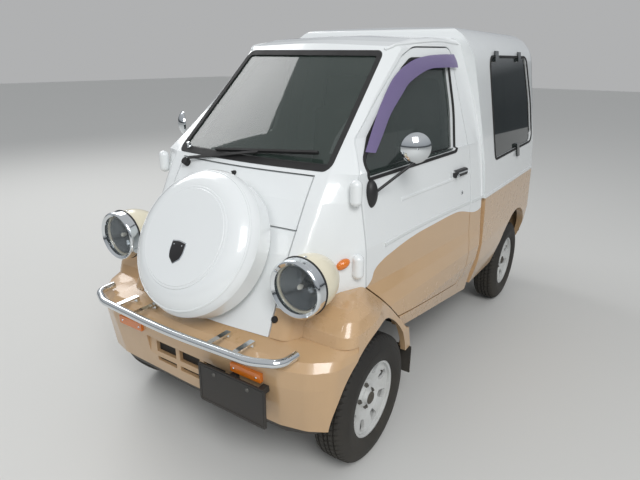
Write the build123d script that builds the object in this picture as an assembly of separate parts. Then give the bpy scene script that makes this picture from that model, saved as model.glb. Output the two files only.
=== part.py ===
from build123d import *
from functools import cache
import math
import os

# A narrow one-seat cab-over microvan with a spare wheel on its nose and a canopy over its bed.
# Lengths are in millimetres. Stations (y) are measured back from the front axle, heights (z) from
# the ground and half-widths (x) from the centre line. Pieces move to the car's origin when written.
WHEELBASE = 1840
FRONT_TRACK = 1110
REAR_TRACK = 1105
FRONT_END = -507
REAR_END = 2283

# Wheels and tyres
TYRE_DIAMETER = 526
TYRE_WIDTH = 145
RIM_DIAMETER = 330
RIM_WIDTH = 114
RIM_OPEN_DIAMETER = 300
DISC_THICKNESS = 13
SPOKE_WINDOWS = 8
WHEEL_CAP_RADIUS = 29

# Wheel bearings: stub radius, running clearance and how far the stub reaches past the wheel's middle
STUB_RADIUS = 17
STUB_CLEARANCE = 0.3
STUB_REACH = 24.5

# Hinge and pivot pins: radius and running clearance round each
PIN_RADIUS = 4
PIVOT_RADIUS = 8
PIN_CLEARANCE = 0.3

# Walls, gaps and clearances
WALL = 40
SEAM = 6
SEAT_GAP = 0.3
GLASS = 5
CAB_BACK = 1125
BODY_BACK = 2238
SILL_TOP = 852

# Wheel arches, as (station, height, half-length, half-height) of their oval openings
FRONT_ARCH = (-15, 288, 290, 318)
REAR_ARCH = (WHEELBASE + 3, 300, 326, 330)

# Doors: outline of the leaf and of its window in the side view, as (station, height)
DOOR_OUTLINE = (
    (37, 712), (30, 900), (18, 1134), (108, 1258), (339, 1425), (510, 1557), (600, 1594),
    (905, 1598), (962, 1080), (962, 424), (215, 530), (107, 645),
)
DOOR_CORNERS = (6, 400, 40, 120, 900, 60, 150, 44, 500, 90, 30, 200)
WINDOW_OUTLINE = (
    (88, 1128), (92, 1180), (335, 1367), (500, 1500), (570, 1538), (864, 1542), (856, 1331), (812, 1140),
)
WINDOW_CORNERS = (8, 60, 900, 60, 60, 26, 600, 20)

# The cab in plan at each height, as (height, nose at the centre line, nose corner x and y, front
# edge of the door x and y, half-width at the back, corner radius, door-edge radius)
CAB_LEVELS = (
    (300, -352, 411, -308, 556, 70, 588, 48, 60),
    (430, -352, 411, -308, 586, 60, 612, 48, 60),
    (518, -352, 411, -308, 594, 45, 636, 48, 60),
    (600, -352, 411, -308, 582, 36, 647, 48, 60),
    (660, -321, 408, -283, 560, 34, 645, 48, 60),
    (712, -294, 406, -261, 537, 32, 641, 48, 60),
    (870, -216, 399, -192, 535, 28, 632, 48, 60),
    (1050, -118, 400, -86, 514, 22, 611, 40, 50),
    (1150, -60, 402, -17, 496, 20, 597, 12, 14),
)
GREENHOUSE_LEVELS = (
    (1150, -60, 402, -17, 496, 20, 597, 12, 14),
    (1260, 64, 391, 104, 426, 110, 575, 12, 14),
    (1400, 222, 378, 258, 405, 290, 545, 12, 14),
    (1580, 424, 361, 455, 400, 512, 500, 12, 14),
    (1700, 560, 350, 587, 390, 650, 470, 12, 14),
)
NOSE_BOW = 2000

# The roof at each station, as (station, height at the centre line, half-width of the side line
# at ROOF_SIDE_HEIGHT); the side lines lean in by ROOF_LEAN
ROOF_STATIONS = (
    (-420, 1606, 412), (480, 1606, 412), (560, 1624, 412), (660, 1641, 427), (800, 1651, 450), (1135, 1652, 502),
)
ROOF_SIDE_HEIGHT = 1580
ROOF_LEAN = 0.24
ROOF_CROWN_DROP = 16
ROOF_SHOULDER = 60
ROOF_BOW = 2600

# Nose panel and the cowl panel above it
NOSE_SEAM = 346
BUMPER_TOP = 600
NOSE_LOW = BUMPER_TOP + SEAT_GAP
COWL_SEAM = 954
COWL_TOP = 1132

# Windscreen opening in the front view, as (half-width, height)
SCREEN_OUTLINE = ((398, 1152), (358, 1576))
SCREEN_CORNERS = (30, 34)
SEAL_WIDTH = 22

# Spare wheel cover: centre of its disc, tilt from upright, disc and rim radii
COVER_CENTRE = (-371, 930)
COVER_TILT = 31
COVER_DISC = 184
COVER_RADIUS = 286
COVER_DROP = 76
COVER_DEPTH = 150

# Headlamps
LAMP_X = 468
LAMP_FRONT = -305
LAMP_HEIGHT = 821
LAMP_RING = 104
LENS_RADIUS = 86

# Bumper, the valance below it and the chrome bar
BUMPER_LOW = 300
VALANCE_LOW = 258
BAR_HEIGHT = 600
BAR_RADIUS = 15
BAR_FRONT = FRONT_END + BAR_RADIUS - 3.9

# Cargo body and canopy sections in the rear view, as (half-width, height)
CARGO_SECTION = ((602, 352), (636, 480), (648, 590), (641, SILL_TOP))
CANOPY_SECTION = ((640, SILL_TOP), (626, 1040), (521, 1690))
CANOPY_CROWN = 1706
CANOPY_SHOULDER = 190
CANOPY_PROFILE = (
    (1126, SILL_TOP), (1100, 1060), (1079, 1240), (1050, 1415), (1004, 1625), (1026, 1682), (1310, 1714), (BODY_BACK + 20, 1714),
    (BODY_BACK + 20, SILL_TOP),
)
CANOPY_PROFILE_CORNERS = (0, 300, 300, 400, 60, 30, 600, 0, 0)
CANOPY_WALL = 30
CANOPY_LIP = (5, 16)
SIDE_WINDOW = ((1286, 1038), (1262, 1552), (1995, 1552), (2070, 1300), (2078, 1046))
SIDE_WINDOW_CORNERS = (30, 50, 70, 300, 70)
CARGO_FLOOR = 600
TAIL_ROUND = 110

nodes = {}
TO_ORIGIN = Pos(0, -(FRONT_END + REAR_END) / 2, 0)


def flat(points, corners=0):
    """A flat face bounded by straight runs, with a radius at each corner."""
    radii = [corners] * len(points) if isinstance(corners, (int, float)) else list(corners)
    return make_face(FilletPolyline(*points, radius=radii, close=True))


def mirrored(points):
    """A half outline on +x, from bottom to top, closed by its mirror image."""
    return list(points) + [(-x, z) for x, z in reversed(points)]


def from_side(points, corners, x_from, x_to):
    """A side-view outline run across the car."""
    return extrude(Plane.YZ.offset(x_from) * flat(points, corners), x_to - x_from)


def from_front(points, corners, y_from, y_to):
    """A front-view outline run along the car."""
    return extrude(Plane.XZ.offset(-y_to) * flat(points, corners), y_to - y_from)


def from_top(points, corners, z_from, z_to):
    """A plan outline run upwards."""
    return extrude(Plane.XY.offset(z_from) * flat(points, corners), z_to - z_from)


def box(x_from, x_to, y_from, y_to, z_from, z_to):
    size = (x_to - x_from, y_to - y_from, z_to - z_from)
    centre = ((x_from + x_to) / 2, (y_from + y_to) / 2, (z_from + z_to) / 2)
    return Pos(*centre) * Box(*size)


def crosswise(radius, x_from, x_to, y, z):
    """A round bar across the car."""
    return Pos((x_from + x_to) / 2, y, z) * Rot(0, 90, 0) * Cylinder(radius, x_to - x_from)


def pair(solid):
    """A piece on the car's left and its mirror image on the right."""
    return [solid, mirror(solid, about=Plane.YZ)]


def grown(outline, amount):
    """An outline moved out, or in where the amount is negative."""
    return offset(outline, amount, kind=Kind.INTERSECTION)


def solids_of(shapes):
    found = []
    for shape in shapes:
        found += list(shape.solids())
    return found


def keep(name, *shapes):
    nodes[name] = [TO_ORIGIN * solid for solid in solids_of(shapes)]


def line_shift(a, b, amount):
    """The straight line through two plan points, moved to its left by an amount."""
    dx, dy = b[0] - a[0], b[1] - a[1]
    length = math.hypot(dx, dy)
    shift = (-dy / length * amount, dx / length * amount)
    return (a[0] + shift[0], a[1] + shift[1]), (dx, dy)


def inset_plan(points, amount):
    """A closed plan outline, listed anticlockwise, with every side moved inwards."""
    moved = []
    for k in range(len(points)):
        p, u = line_shift(points[k - 1], points[k], amount)
        q, v = line_shift(points[k], points[(k + 1) % len(points)], amount)
        cross = u[0] * v[1] - u[1] * v[0]
        t = ((q[0] - p[0]) * v[1] - (q[1] - p[1]) * v[0]) / cross
        moved.append((p[0] + u[0] * t, p[1] + u[1] * t))
    return moved


def cab_section(level, inset):
    """The cab's plan outline at one height, moved in by an inset."""
    z, nose, corner_x, corner_y, door_x, door_y, back_x, corner_r, door_r = level
    right = [(corner_x, corner_y), (door_x, door_y), (back_x, CAB_BACK)]
    left = [(-x, y) for x, y in reversed(right)]
    points = inset_plan([(0, nose)] + right + left, inset)
    round_corners = inset <= 0
    half = [corner_r, door_r, 30] if round_corners else [0, 0, 0]
    radii = [NOSE_BOW - inset] + half + half[::-1]
    return Plane.XY.offset(z) * flat(points, radii)


def roof_section(station, inset):
    """The roof's rear-view outline at one station, lowered and narrowed by an inset."""
    y, top, half_width = station
    top = top - inset
    half_width = half_width - inset
    corner_z = top - ROOF_CROWN_DROP
    corner_x = half_width - ROOF_LEAN * (corner_z - ROOF_SIDE_HEIGHT)
    base_z = 200
    base_x = half_width + ROOF_LEAN * (ROOF_SIDE_HEIGHT - base_z)
    half = [(base_x, base_z), (corner_x, corner_z)]
    points = half + [(0, top)] + [(-x, z) for x, z in reversed(half)]
    shoulder = max(ROOF_SHOULDER - inset, 10)
    return Plane.XZ.offset(-y) * flat(points, [0, shoulder, ROOF_BOW, shoulder, 0])


@cache
def cab_envelope(inset=0):
    """The whole cab as one solid, moved in by an inset."""
    lower = loft([cab_section(level, inset) for level in CAB_LEVELS], ruled=True)
    upper = loft([cab_section(level, inset) for level in GREENHOUSE_LEVELS], ruled=True)
    roof = loft([roof_section(station, inset) for station in ROOF_STATIONS], ruled=True)
    return lower + (upper & roof)


cab_outer = cab_envelope()
cab_inner = cab_envelope(WALL)
cab_wall = cab_outer - cab_inner


# Cab shell: nose flanks, pillars, roof, rear wall and sills
def door_prism(amount, x_from=330):
    outline = flat(DOOR_OUTLINE, DOOR_CORNERS)
    if amount:
        outline = grown(outline, amount)
    return extrude(Plane.YZ.offset(x_from) * outline, 420)


def window_prism(amount, x_from=330):
    outline = flat(WINDOW_OUTLINE, WINDOW_CORNERS)
    if amount:
        outline = grown(outline, amount)
    return extrude(Plane.YZ.offset(x_from) * outline, 420)


def screen_prism(amount):
    outline = flat(mirrored(SCREEN_OUTLINE), list(SCREEN_CORNERS) + list(SCREEN_CORNERS)[::-1])
    if amount:
        outline = grown(outline, amount)
    return extrude(Plane.XZ.offset(-600) * outline, 760)


def arch(place, grow, x_from, x_to):
    """A wheel arch's oval run across the car."""
    y, z, half_length, half_height = place
    oval = Pos(y, z) * Ellipse(half_length + grow, half_height + grow)
    return extrude(Plane.YZ.offset(x_from) * oval, x_to - x_from)


BELOW_CAB = (
    (-500, 200), (-500, NOSE_LOW), (200, NOSE_LOW), (250, 470), (CAB_BACK + 10, 320), (CAB_BACK + 10, 200),
)
REAR_WINDOW = ((400, 1080), (350, 1450))
below = from_side(BELOW_CAB, 0, -700, 700)
nose_opening = box(-NOSE_SEAM, NOSE_SEAM, -420, 100, NOSE_LOW - 10, COWL_TOP + SEAM)
rear_window_hole = from_front(mirrored(REAR_WINDOW), 40, CAB_BACK - 100, CAB_BACK + 10)
doorway = door_prism(0)
tunnel = box(-350, 350, 900, CAB_BACK + 20, 200, 520)
shell = cab_wall - below - nose_opening - screen_prism(0) - rear_window_hole - tunnel
shell = shell - doorway - mirror(doorway, about=Plane.YZ)
for side in (-1, 1):
    shell = shell - arch(FRONT_ARCH, 24, 380 if side > 0 else -700, 700 if side > 0 else -380)
HINGE_DOMES = ((508, -8, 1090), (526, -8, 812))
HINGE_RADIUS = 22
HINGE_LENGTH = 96
for x, y, z in HINGE_DOMES:
    dome = Pos(x, y, z) * Cylinder(HINGE_RADIUS, HINGE_LENGTH)
    dome = fillet(dome.edges(), HINGE_RADIUS - 2)
    for half in pair(dome - cab_inner):
        shell = shell + half
keep("cab_shell", shell)

nose_low = box(-NOSE_SEAM + SEAM, NOSE_SEAM - SEAM, -420, 100, NOSE_LOW, COWL_SEAM - SEAM / 2)
nose_high = box(-NOSE_SEAM + SEAM, NOSE_SEAM - SEAM, -420, 100, COWL_SEAM + SEAM / 2, COWL_TOP)
keep("nose_panel", cab_wall & nose_low)
keep("cowl_panel", cab_wall & nose_high)

# Windscreen: a rubber surround with the bent pane set in it
seal_ring = screen_prism(-SEAT_GAP) - screen_prism(-SEAL_WIDTH)
keep("windscreen_seal", (cab_envelope(-2) - cab_envelope(16)) & seal_ring)
keep("windscreen", (cab_envelope(6) - cab_envelope(6 + GLASS)) & screen_prism(-SEAL_WIDTH - SEAT_GAP))
rear_pane = from_front(mirrored(REAR_WINDOW), 40, CAB_BACK - 24, CAB_BACK - 24 + GLASS)
rear_hole_fit = from_front(mirrored([(x - SEAT_GAP, z) for x, z in REAR_WINDOW]), 40, CAB_BACK - 60, CAB_BACK)
keep("rear_window", rear_pane & rear_hole_fit)

# Doors: the outer skin and its trim as one thick leaf, with a pane, a mirror and a handle
DOOR_LIP = 12
door = (cab_wall & door_prism(-SEAM, 330 + SEAM)) - window_prism(0)
lip_band = from_side(((0, 740), (60, 740), (124, 655), (236, 536), (330, 524), (330, 440), (0, 440)), 0, 330, 750)
door = door - (lip_band & cab_envelope(DOOR_LIP))
door_pane = (cab_envelope(14) - cab_envelope(14 + GLASS)) & window_prism(-SEAT_GAP)
HANDLE = (592, 830, 1034)
handle_block = Pos(*HANDLE) * Rot(0, 0, -5) * Box(30, 128, 34)
handle = fillet(handle_block.edges(), 9) - cab_outer
door = door + handle
MIRROR_BASE = (100, 1085)
MIRROR_HEAD = (624, 222, 1232)
MIRROR_RADIUS = 58
base = Pos(515, MIRROR_BASE[0] - 12, MIRROR_BASE[1] - 16) * scale(Sphere(1), by=(26, 30, 54))
base = base - cab_envelope(-SEAT_GAP)
MIRROR_DEPTH = 24
MIRROR_TURN = math.radians(38)
dome_radius = (MIRROR_RADIUS ** 2 + MIRROR_DEPTH ** 2) / (2 * MIRROR_DEPTH)
head_plane = Plane(origin=MIRROR_HEAD, x_dir=(0, 0, 1), z_dir=(math.sin(MIRROR_TURN), -math.cos(MIRROR_TURN), 0))
head_drum = Pos(0, 0, (MIRROR_DEPTH - 8) / 2) * Cylinder(MIRROR_RADIUS, MIRROR_DEPTH + 8)
head = head_plane * (head_drum & Pos(0, 0, MIRROR_DEPTH - dome_radius) * Sphere(dome_radius))
rod_start = Vector(528, MIRROR_BASE[0], MIRROR_BASE[1] - 10)
rod_end = head_plane.from_local_coords(Vector(-MIRROR_RADIUS + 6, 0, -2))
rod_plane = Plane(origin=rod_start, z_dir=rod_end - rod_start)
rod = rod_plane * (Pos(0, 0, (rod_end - rod_start).length / 2) * Cylinder(5.5, (rod_end - rod_start).length))
keep("door_left", door)
keep("door_right", mirror(door, about=Plane.YZ))
keep("door_left_pane", door_pane)
keep("door_right_pane", mirror(door_pane, about=Plane.YZ))
door_mirror = base + rod + head
keep("door_left_mirror", door_mirror)
keep("door_right_mirror", mirror(door_mirror, about=Plane.YZ))

# Front wings: the mudguards over the wheels, whose front edge meets the bumper at WING_SEAM, as (height, outer half-width, front, widest station,
# rear half-width and station, front corner radius, bow radius)
WING_SEAM = -186
WING_LEVELS = (
    (330, 622, -252, 0, 618, 330, 70, 400), (460, 634, -252, 0, 616, 300, 70, 400),
    (530, 639, -251, -10, 603, 215, 70, 400), (590, 641, -250, -20, 590, 165, 70, 400),
    (640, 637, -232, -30, 577, 110, 60, 300), (680, 620, -196, -60, 560, 65, 50, 200),
    (704, 594, -150, -60, 548, 40, 40, 150), (717, 562, -104, -40, 540, 30, 30, 150),
    (724, 530, -70, -25, 526, 20, 15, 150),
)


def wing_section(level):
    z, outer, front, middle, rear_x, rear, corner, bow = level
    points = [(380, front), (outer, front), (outer + 4, middle), (rear_x, rear), (380, rear)]
    return Plane.XY.offset(z) * flat(points, [0, corner, bow, 5, 0])


wing = loft([wing_section(level) for level in WING_LEVELS], ruled=True)
wing = wing - cab_envelope(-SEAT_GAP) - arch(FRONT_ARCH, 0, 300, 720) - arch(FRONT_ARCH, 24, 300, 596)
front_of_wing = box(300, 720, -400, WING_SEAM, 200, NOSE_LOW)
WING_REAR = ((37, 800), (37, 712), (107, 645), (215, 530), (270, 462), (330, 440), (600, 440), (600, 800))
wing = wing - front_of_wing - from_side(WING_REAR, [0, 6, 200, 30, 20, 20, 0, 0], 300, 720)
low_cut = box(300, 720, 0, 600, 200, 352)
wing = wing - low_cut
wing = max(wing.solids(), key=lambda solid: solid.volume)
keep("front_wings", *pair(wing))

# Bumper: a moulding with round corners and a crest that slopes back to the nose and the wings, with
# an air grille and lamp pockets, as (height, plan points from the centre line to the arch)
BUMPER_LEVELS = (
    (BUMPER_LOW, ((0, -382), (433, -370), (534, -345), (614, -297), (634, -190), (636, -20))),
    (480, ((0, -410), (450, -398), (554, -362), (620, -299), (640, -190), (642, -20))),
    (552, ((0, -414), (452, -402), (556, -366), (622, -300), (642, -190), (643, -20))),
    (578, ((0, -396), (444, -380), (540, -342), (614, -282), (641, -190), (643, -20))),
    (BUMPER_TOP, ((0, -349), (420, -290), (480, -256), (598, -246), (638, -186), (641, -20))),
)
BUMPER_CORNERS = (2000, 60, 90, 80, 60, 0)
BUMPER_WALL = 34


def bumper_section(level, inset=0):
    z, plan = level
    points = [(x - inset * (x > 500), y + inset) for x, y in plan]
    points = points + [(-x, y) for x, y in reversed(points[1:])]
    radii = list(BUMPER_CORNERS) + list(BUMPER_CORNERS[1:])[::-1]
    return Plane.XY.offset(z) * flat(points, radii)


bumper = loft([bumper_section(level) for level in BUMPER_LEVELS], ruled=True)
hollow_levels = [(BUMPER_LOW - 10, BUMPER_LEVELS[0][1]), BUMPER_LEVELS[1]]
hollow_levels.append((BUMPER_TOP - BUMPER_WALL, BUMPER_LEVELS[2][1]))
bumper = bumper - loft([bumper_section(level, BUMPER_WALL) for level in hollow_levels], ruled=True)
bumper = bumper - box(-560, 560, -246, 0, 200, BUMPER_TOP + 20)
for x_a, x_b in ((380, 720), (-720, -380)):
    bumper = bumper - arch(FRONT_ARCH, 0, x_a, x_b) - box(x_a, x_b, WING_SEAM - SEAT_GAP, 0, 200, BUMPER_TOP + 20)
recess = box(-236, 236, -500, -388, 335, 462)
bumper = bumper - recess
for slot_x in (-136, 0, 136):
    bumper = bumper - box(slot_x - 57, slot_x + 57, -500, -340, 396, 444)
    bumper = bumper - box(slot_x - 57, slot_x + 57, -500, -340, 352, 372)
LAMP_POCKET = (246, 386, 480, 514)
for side in (-1, 1):
    x_a, x_b = sorted((side * LAMP_POCKET[0], side * LAMP_POCKET[1]))
    bumper = bumper - box(x_a, x_b, -500, -388, LAMP_POCKET[2], LAMP_POCKET[3])
bumper = max(bumper.solids(), key=lambda solid: solid.volume)
keep("front_bumper", bumper)

# Valance: the black strip that closes the bumper's underside
valance_levels = [(VALANCE_LOW, BUMPER_LEVELS[0][1]), (BUMPER_LOW - SEAT_GAP, BUMPER_LEVELS[0][1])]
valance = loft([bumper_section(level, 8 + 20 * (k == 0)) for k, level in enumerate(valance_levels)], ruled=True)
valance = valance - loft([bumper_section((z + 30 * k - 15, plan), 34) for k, (z, plan) in enumerate(valance_levels)], ruled=True)
valance = valance - box(-700, 700, -300, 0, 200, 340)
keep("front_valance", max(valance.solids(), key=lambda solid: solid.volume))

lamp_block = box(LAMP_POCKET[0] + SEAT_GAP, LAMP_POCKET[1] - SEAT_GAP, -416, -388 - SEAT_GAP,
                 LAMP_POCKET[2] + SEAT_GAP, LAMP_POCKET[3] - SEAT_GAP)
repeater = Pos(490, -57, 830) * Rot(0, 0, 59) * Rot(0, -25, 0) * scale(Sphere(1), by=(30, 17, 18))
repeater = repeater - cab_envelope(-SEAT_GAP)
keep("turn_lamps", *pair(lamp_block), *pair(repeater))

# Chrome bar round the nose, with two pairs of flat struts from the bumper's top
BAR_PATH = ((-495, -352), (-489, -428), (-392, BAR_FRONT + 22), (0, BAR_FRONT), (392, BAR_FRONT + 22),
            (489, -428), (495, -352))
bar_line = FilletPolyline(*[(x, y, BAR_HEIGHT) for x, y in BAR_PATH], radius=[60, 160, 2500, 160, 60])
bar = sweep(Plane(origin=bar_line @ 0, z_dir=bar_line % 0) * Circle(BAR_RADIUS), path=bar_line)
for x in (200, 315):
    strut = box(x - 11, x + 11, BAR_FRONT + 12, -366, BAR_HEIGHT - 4, BAR_HEIGHT + 4)
    strut = strut + box(x - 11, x + 11, -378, -366, BAR_HEIGHT - 40, BAR_HEIGHT + 4)
    strut = strut - Pos(0, -SEAT_GAP, SEAT_GAP) * bumper
    strut = max(strut.solids(), key=lambda solid: solid.volume)
    bar = bar + strut + mirror(strut, about=Plane.YZ)
keep("bumper_bar", bar)

plate_frame = box(106, 424, -440, -432, 318, 478)
plate = fillet(plate_frame.edges().filter_by(Axis.Y), 8)
for x in (262, 398):
    plate = plate + (box(x - 12, x + 12, -433, -380, 448, 472) - Pos(0, -SEAT_GAP, 0) * bumper)
keep("number_plate", max(plate.solids(), key=lambda solid: solid.volume))

# Headlamps: bullet pods on the nose flanks, chrome rings and domed lenses
pod_profile = make_face(
    Line((0, LAMP_FRONT), (LAMP_RING - 6, LAMP_FRONT)) +
    Line((LAMP_RING - 6, LAMP_FRONT), (LAMP_RING - 6, LAMP_FRONT + 40)) +
    ThreePointArc((LAMP_RING - 6, LAMP_FRONT + 40), (76, LAMP_FRONT + 140), (0, LAMP_FRONT + 200)) +
    Line((0, LAMP_FRONT + 200), (0, LAMP_FRONT))
)
lamp_place = Pos(LAMP_X, 0, LAMP_HEIGHT)
pod = lamp_place * revolve(pod_profile, Axis.Y)
pod_bore = lamp_place * (Pos(0, LAMP_FRONT + 18, 0) * Rot(90, 0, 0) * Cylinder(LENS_RADIUS - 4, 60))
pod = pod - cab_envelope(-SEAT_GAP) - pod_bore
pod = max(pod.solids(), key=lambda solid: solid.volume)
keep("headlamp_pods", *pair(pod))
RING_DEPTH = 20
ring_section = make_face(
    Polyline((LENS_RADIUS, LAMP_FRONT - SEAT_GAP), (LAMP_RING - 5.7, LAMP_FRONT - SEAT_GAP),
             (LAMP_RING - 5.7, LAMP_FRONT + RING_DEPTH), (LAMP_RING, LAMP_FRONT + RING_DEPTH), (LAMP_RING, LAMP_FRONT - 12)) +
    ThreePointArc((LAMP_RING, LAMP_FRONT - 12), (LAMP_RING - 2, LAMP_FRONT - 21), (LAMP_RING - 8, LAMP_FRONT - 26)) +
    Polyline((LAMP_RING - 8, LAMP_FRONT - 26), (LENS_RADIUS, LAMP_FRONT - 18), (LENS_RADIUS, LAMP_FRONT - SEAT_GAP))
)
keep("headlamp_rings", *pair(lamp_place * revolve(ring_section, Axis.Y)))
LENS_CROWN = 24
lens_fit = LENS_RADIUS - SEAT_GAP
crown_radius = (lens_fit ** 2 + LENS_CROWN ** 2) / (2 * LENS_CROWN)
lens_plane = Plane(origin=(LAMP_X, LAMP_FRONT - 10, LAMP_HEIGHT), z_dir=(0, -1, 0))
lens_drum = Pos(0, 0, LENS_CROWN / 2) * Cylinder(lens_fit, LENS_CROWN + 10)
lens = lens_plane * (lens_drum & Pos(0, 0, LENS_CROWN - crown_radius) * Sphere(crown_radius))
keep("headlamp_lenses", *pair(lens))

# Spare wheel cover on its carrier
tilt = math.radians(COVER_TILT)
cover_plane = Plane(origin=(0, COVER_CENTRE[0], COVER_CENTRE[1]), x_dir=(1, 0, 0),
                    z_dir=(0, -math.cos(tilt), math.sin(tilt)))
cover_profile = make_face(
    Line((0, 0), (COVER_DISC, 0)) +
    Line((COVER_DISC, 0), (COVER_DISC + 5, -6)) +
    ThreePointArc((COVER_DISC + 5, -6), (COVER_RADIUS - 32, -28), (COVER_RADIUS, -COVER_DROP)) +
    Line((COVER_RADIUS, -COVER_DROP), (COVER_RADIUS - 6, -COVER_DEPTH)) +
    Line((COVER_RADIUS - 6, -COVER_DEPTH), (0, -COVER_DEPTH)) +
    Line((0, -COVER_DEPTH), (0, 0))
)
cover = cover_plane * revolve(Plane.XZ * cover_profile, Axis.Z)
cover = cover - cab_envelope(-8)
keep("spare_cover", cover)
carrier = cover_plane * (Pos(0, 0, -COVER_DEPTH - 40) * Cylinder(90, 80))
carrier = carrier - cab_envelope(-SEAT_GAP) - cover_plane * (Pos(0, 0, -COVER_DEPTH / 2 - SEAT_GAP) *
                                                             Cylinder(COVER_RADIUS + 20, COVER_DEPTH))
carrier = max(carrier.solids(), key=lambda solid: solid.volume)
keep("spare_carrier", carrier)

# Wiper: a capped pivot on the cowl panel, an arm and a blade parked along the foot of the windscreen
def bar_between(start, end, width, depth):
    start, end = Vector(*start), Vector(*end)
    plane = Plane(origin=start, x_dir=(0, -math.sin(SCREEN_LEAN), -math.cos(SCREEN_LEAN)), z_dir=end - start)
    return plane * (Pos(0, 0, (end - start).length / 2) * Box(width, depth, (end - start).length))


SCREEN_LEAN = math.radians(47)
WIPER_PIVOT = (-300, -58, 1116)
WIPER_KNEE = (-282, -62, 1140)
WIPER_GRIP = (70, -24, 1196)
WIPER_BLADE = ((-150, -30, 1183), (330, 12, 1214))
wiper = Plane(origin=WIPER_PIVOT, z_dir=(0, -0.8, 0.6)) * (Pos(0, 0, 0) * Cylinder(15, 40))
wiper = wiper + bar_between(WIPER_PIVOT, WIPER_KNEE, 12, 10) + bar_between(WIPER_KNEE, WIPER_GRIP, 12, 6)
wiper = wiper + bar_between(*WIPER_BLADE, 10, 14)
wiper = wiper - cab_envelope(-SEAT_GAP)
keep("wiper", max(wiper.solids(), key=lambda solid: solid.volume))

# Cargo body: the bed's sides with round rear wheel arches
cargo_points = list(CARGO_SECTION)
cargo_outer = from_front(mirrored(cargo_points), [0, 160, 200, 0, 0, 200, 160, 0], CAB_BACK + 14, BODY_BACK)
cargo_inner_points = [(x - WALL, z) for x, z in CARGO_SECTION]
cargo_inner_points = [(cargo_inner_points[0][0], 300)] + cargo_inner_points[1:-1] + [(CARGO_SECTION[-1][0] - WALL, 900)]
cargo_inner = from_front(mirrored(cargo_inner_points), 0, CAB_BACK - 50, BODY_BACK - WALL)
tail_edges = cargo_outer.edges().filter_by(lambda e: e.center().Y > BODY_BACK - 1 and abs(e.center().X) > 600)
cargo_block = fillet(tail_edges, TAIL_ROUND)
cargo = cargo_block - cargo_inner
REAR_SKIRT = ((1100, 200), (1100, 330), (1560, 350), (1560, 200))
cargo = cargo - from_side(REAR_SKIRT, 0, -700, 700)
cargo = cargo - arch(REAR_ARCH, 0, 300, 720) - arch(REAR_ARCH, 0, -720, -300)
GATE = (520, 610)
cargo = cargo - box(-GATE[0], GATE[0], BODY_BACK - 60, BODY_BACK + 10, GATE[1], 900)
GATE_HINGE = (BODY_BACK + 12, 606)
GATE_BARREL = 7
gate_lug = box(440, 452, BODY_BACK - 2, GATE_HINGE[0] + 6, GATE_HINGE[1] - 8, GATE_HINGE[1] + 8)
gate_lug = gate_lug + crosswise(PIN_RADIUS, 400, 442, *GATE_HINGE)
cargo = cargo + gate_lug + mirror(gate_lug, about=Plane.YZ)
keep("cargo_body", cargo)
gate = box(-GATE[0] + SEAM, GATE[0] - SEAM, BODY_BACK - WALL, BODY_BACK, GATE[1] + SEAM + 2, SILL_TOP - SEAM)
gate = fillet(gate.edges().filter_by(Axis.Y), 12)
strap = box(394, 434, BODY_BACK - 1, BODY_BACK + 9, GATE[1] + 14, GATE[1] + 50)
strap = strap + box(394, 434, BODY_BACK + 5, BODY_BACK + 9, GATE_HINGE[1], GATE[1] + 16)
strap = strap + crosswise(GATE_BARREL, 394, 434, *GATE_HINGE)
strap = strap - crosswise(PIN_RADIUS + PIN_CLEARANCE, 380, 450, *GATE_HINGE)
gate = gate + strap + mirror(strap, about=Plane.YZ)
keep("tailgate", gate)
bed = box(-600, 600, CAB_BACK + 16, BODY_BACK - WALL - SEAT_GAP, CARGO_FLOOR - 24, CARGO_FLOOR)
bed = bed & from_front(mirrored([(x - SEAT_GAP, z) for x, z in cargo_inner_points]), 0, CAB_BACK - 50, BODY_BACK)
for y in (1420, 1840, 2140):
    bed = bed + box(-430, 430, y - 22, y + 22, 500 + SEAT_GAP, CARGO_FLOOR - 20)
keep("cargo_floor", bed)


# Canopy over the bed: one moulding that laps over the back of the cab
def canopy_block(inset, y_from):
    half = [(x - inset, z) for x, z in CANOPY_SECTION]
    half[0] = (half[0][0], SILL_TOP - max(inset, 0))
    points = half + [(0, CANOPY_CROWN - inset)] + [(-x, z) for x, z in reversed(half)]
    corner = CANOPY_SHOULDER - inset
    section = from_front(points, [0, 300, corner, 3000, corner, 300, 0], y_from, BODY_BACK - inset)
    back_edges = section.edges().filter_by(
        lambda e: abs(e.center().Y - (BODY_BACK - inset)) < 1 and e.center().Z > SILL_TOP + 1)
    section = fillet(back_edges, TAIL_ROUND - inset)
    outline = flat(CANOPY_PROFILE, CANOPY_PROFILE_CORNERS)
    if inset:
        outline = grown(outline, -inset)
    return section & extrude(Plane.YZ.offset(-700) * outline, 1400)


canopy = canopy_block(0, 800)
lip_out, lip_high = CANOPY_LIP
canopy = canopy + (canopy_block(-lip_out, 800) & box(-700, 700, 1080, BODY_BACK - TAIL_ROUND, SILL_TOP, SILL_TOP + lip_high))
hollow_floor = box(-560, 560, CAB_BACK, BODY_BACK - TAIL_ROUND, SILL_TOP - 60, SILL_TOP + 60)
canopy = canopy - canopy_block(CANOPY_WALL, CAB_BACK) - hollow_floor - cab_envelope(-SEAT_GAP)
side_opening = from_side(SIDE_WINDOW, SIDE_WINDOW_CORNERS, 450, 720)
canopy = canopy - side_opening - mirror(side_opening, about=Plane.YZ)
HATCH = ((500, SILL_TOP), (400, 1560))
hatch_opening = from_front(mirrored([HATCH[0], HATCH[1]]), [0, 70, 70, 0], BODY_BACK - 70, BODY_BACK + 20)
canopy = canopy - hatch_opening
canopy = canopy - box(-HATCH[0][0], HATCH[0][0], BODY_BACK - 70, BODY_BACK + 20, SILL_TOP - 40, SILL_TOP + 20)
HATCH_HINGE = (BODY_BACK + 14, 1572)
HINGE_BARREL = 8
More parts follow.
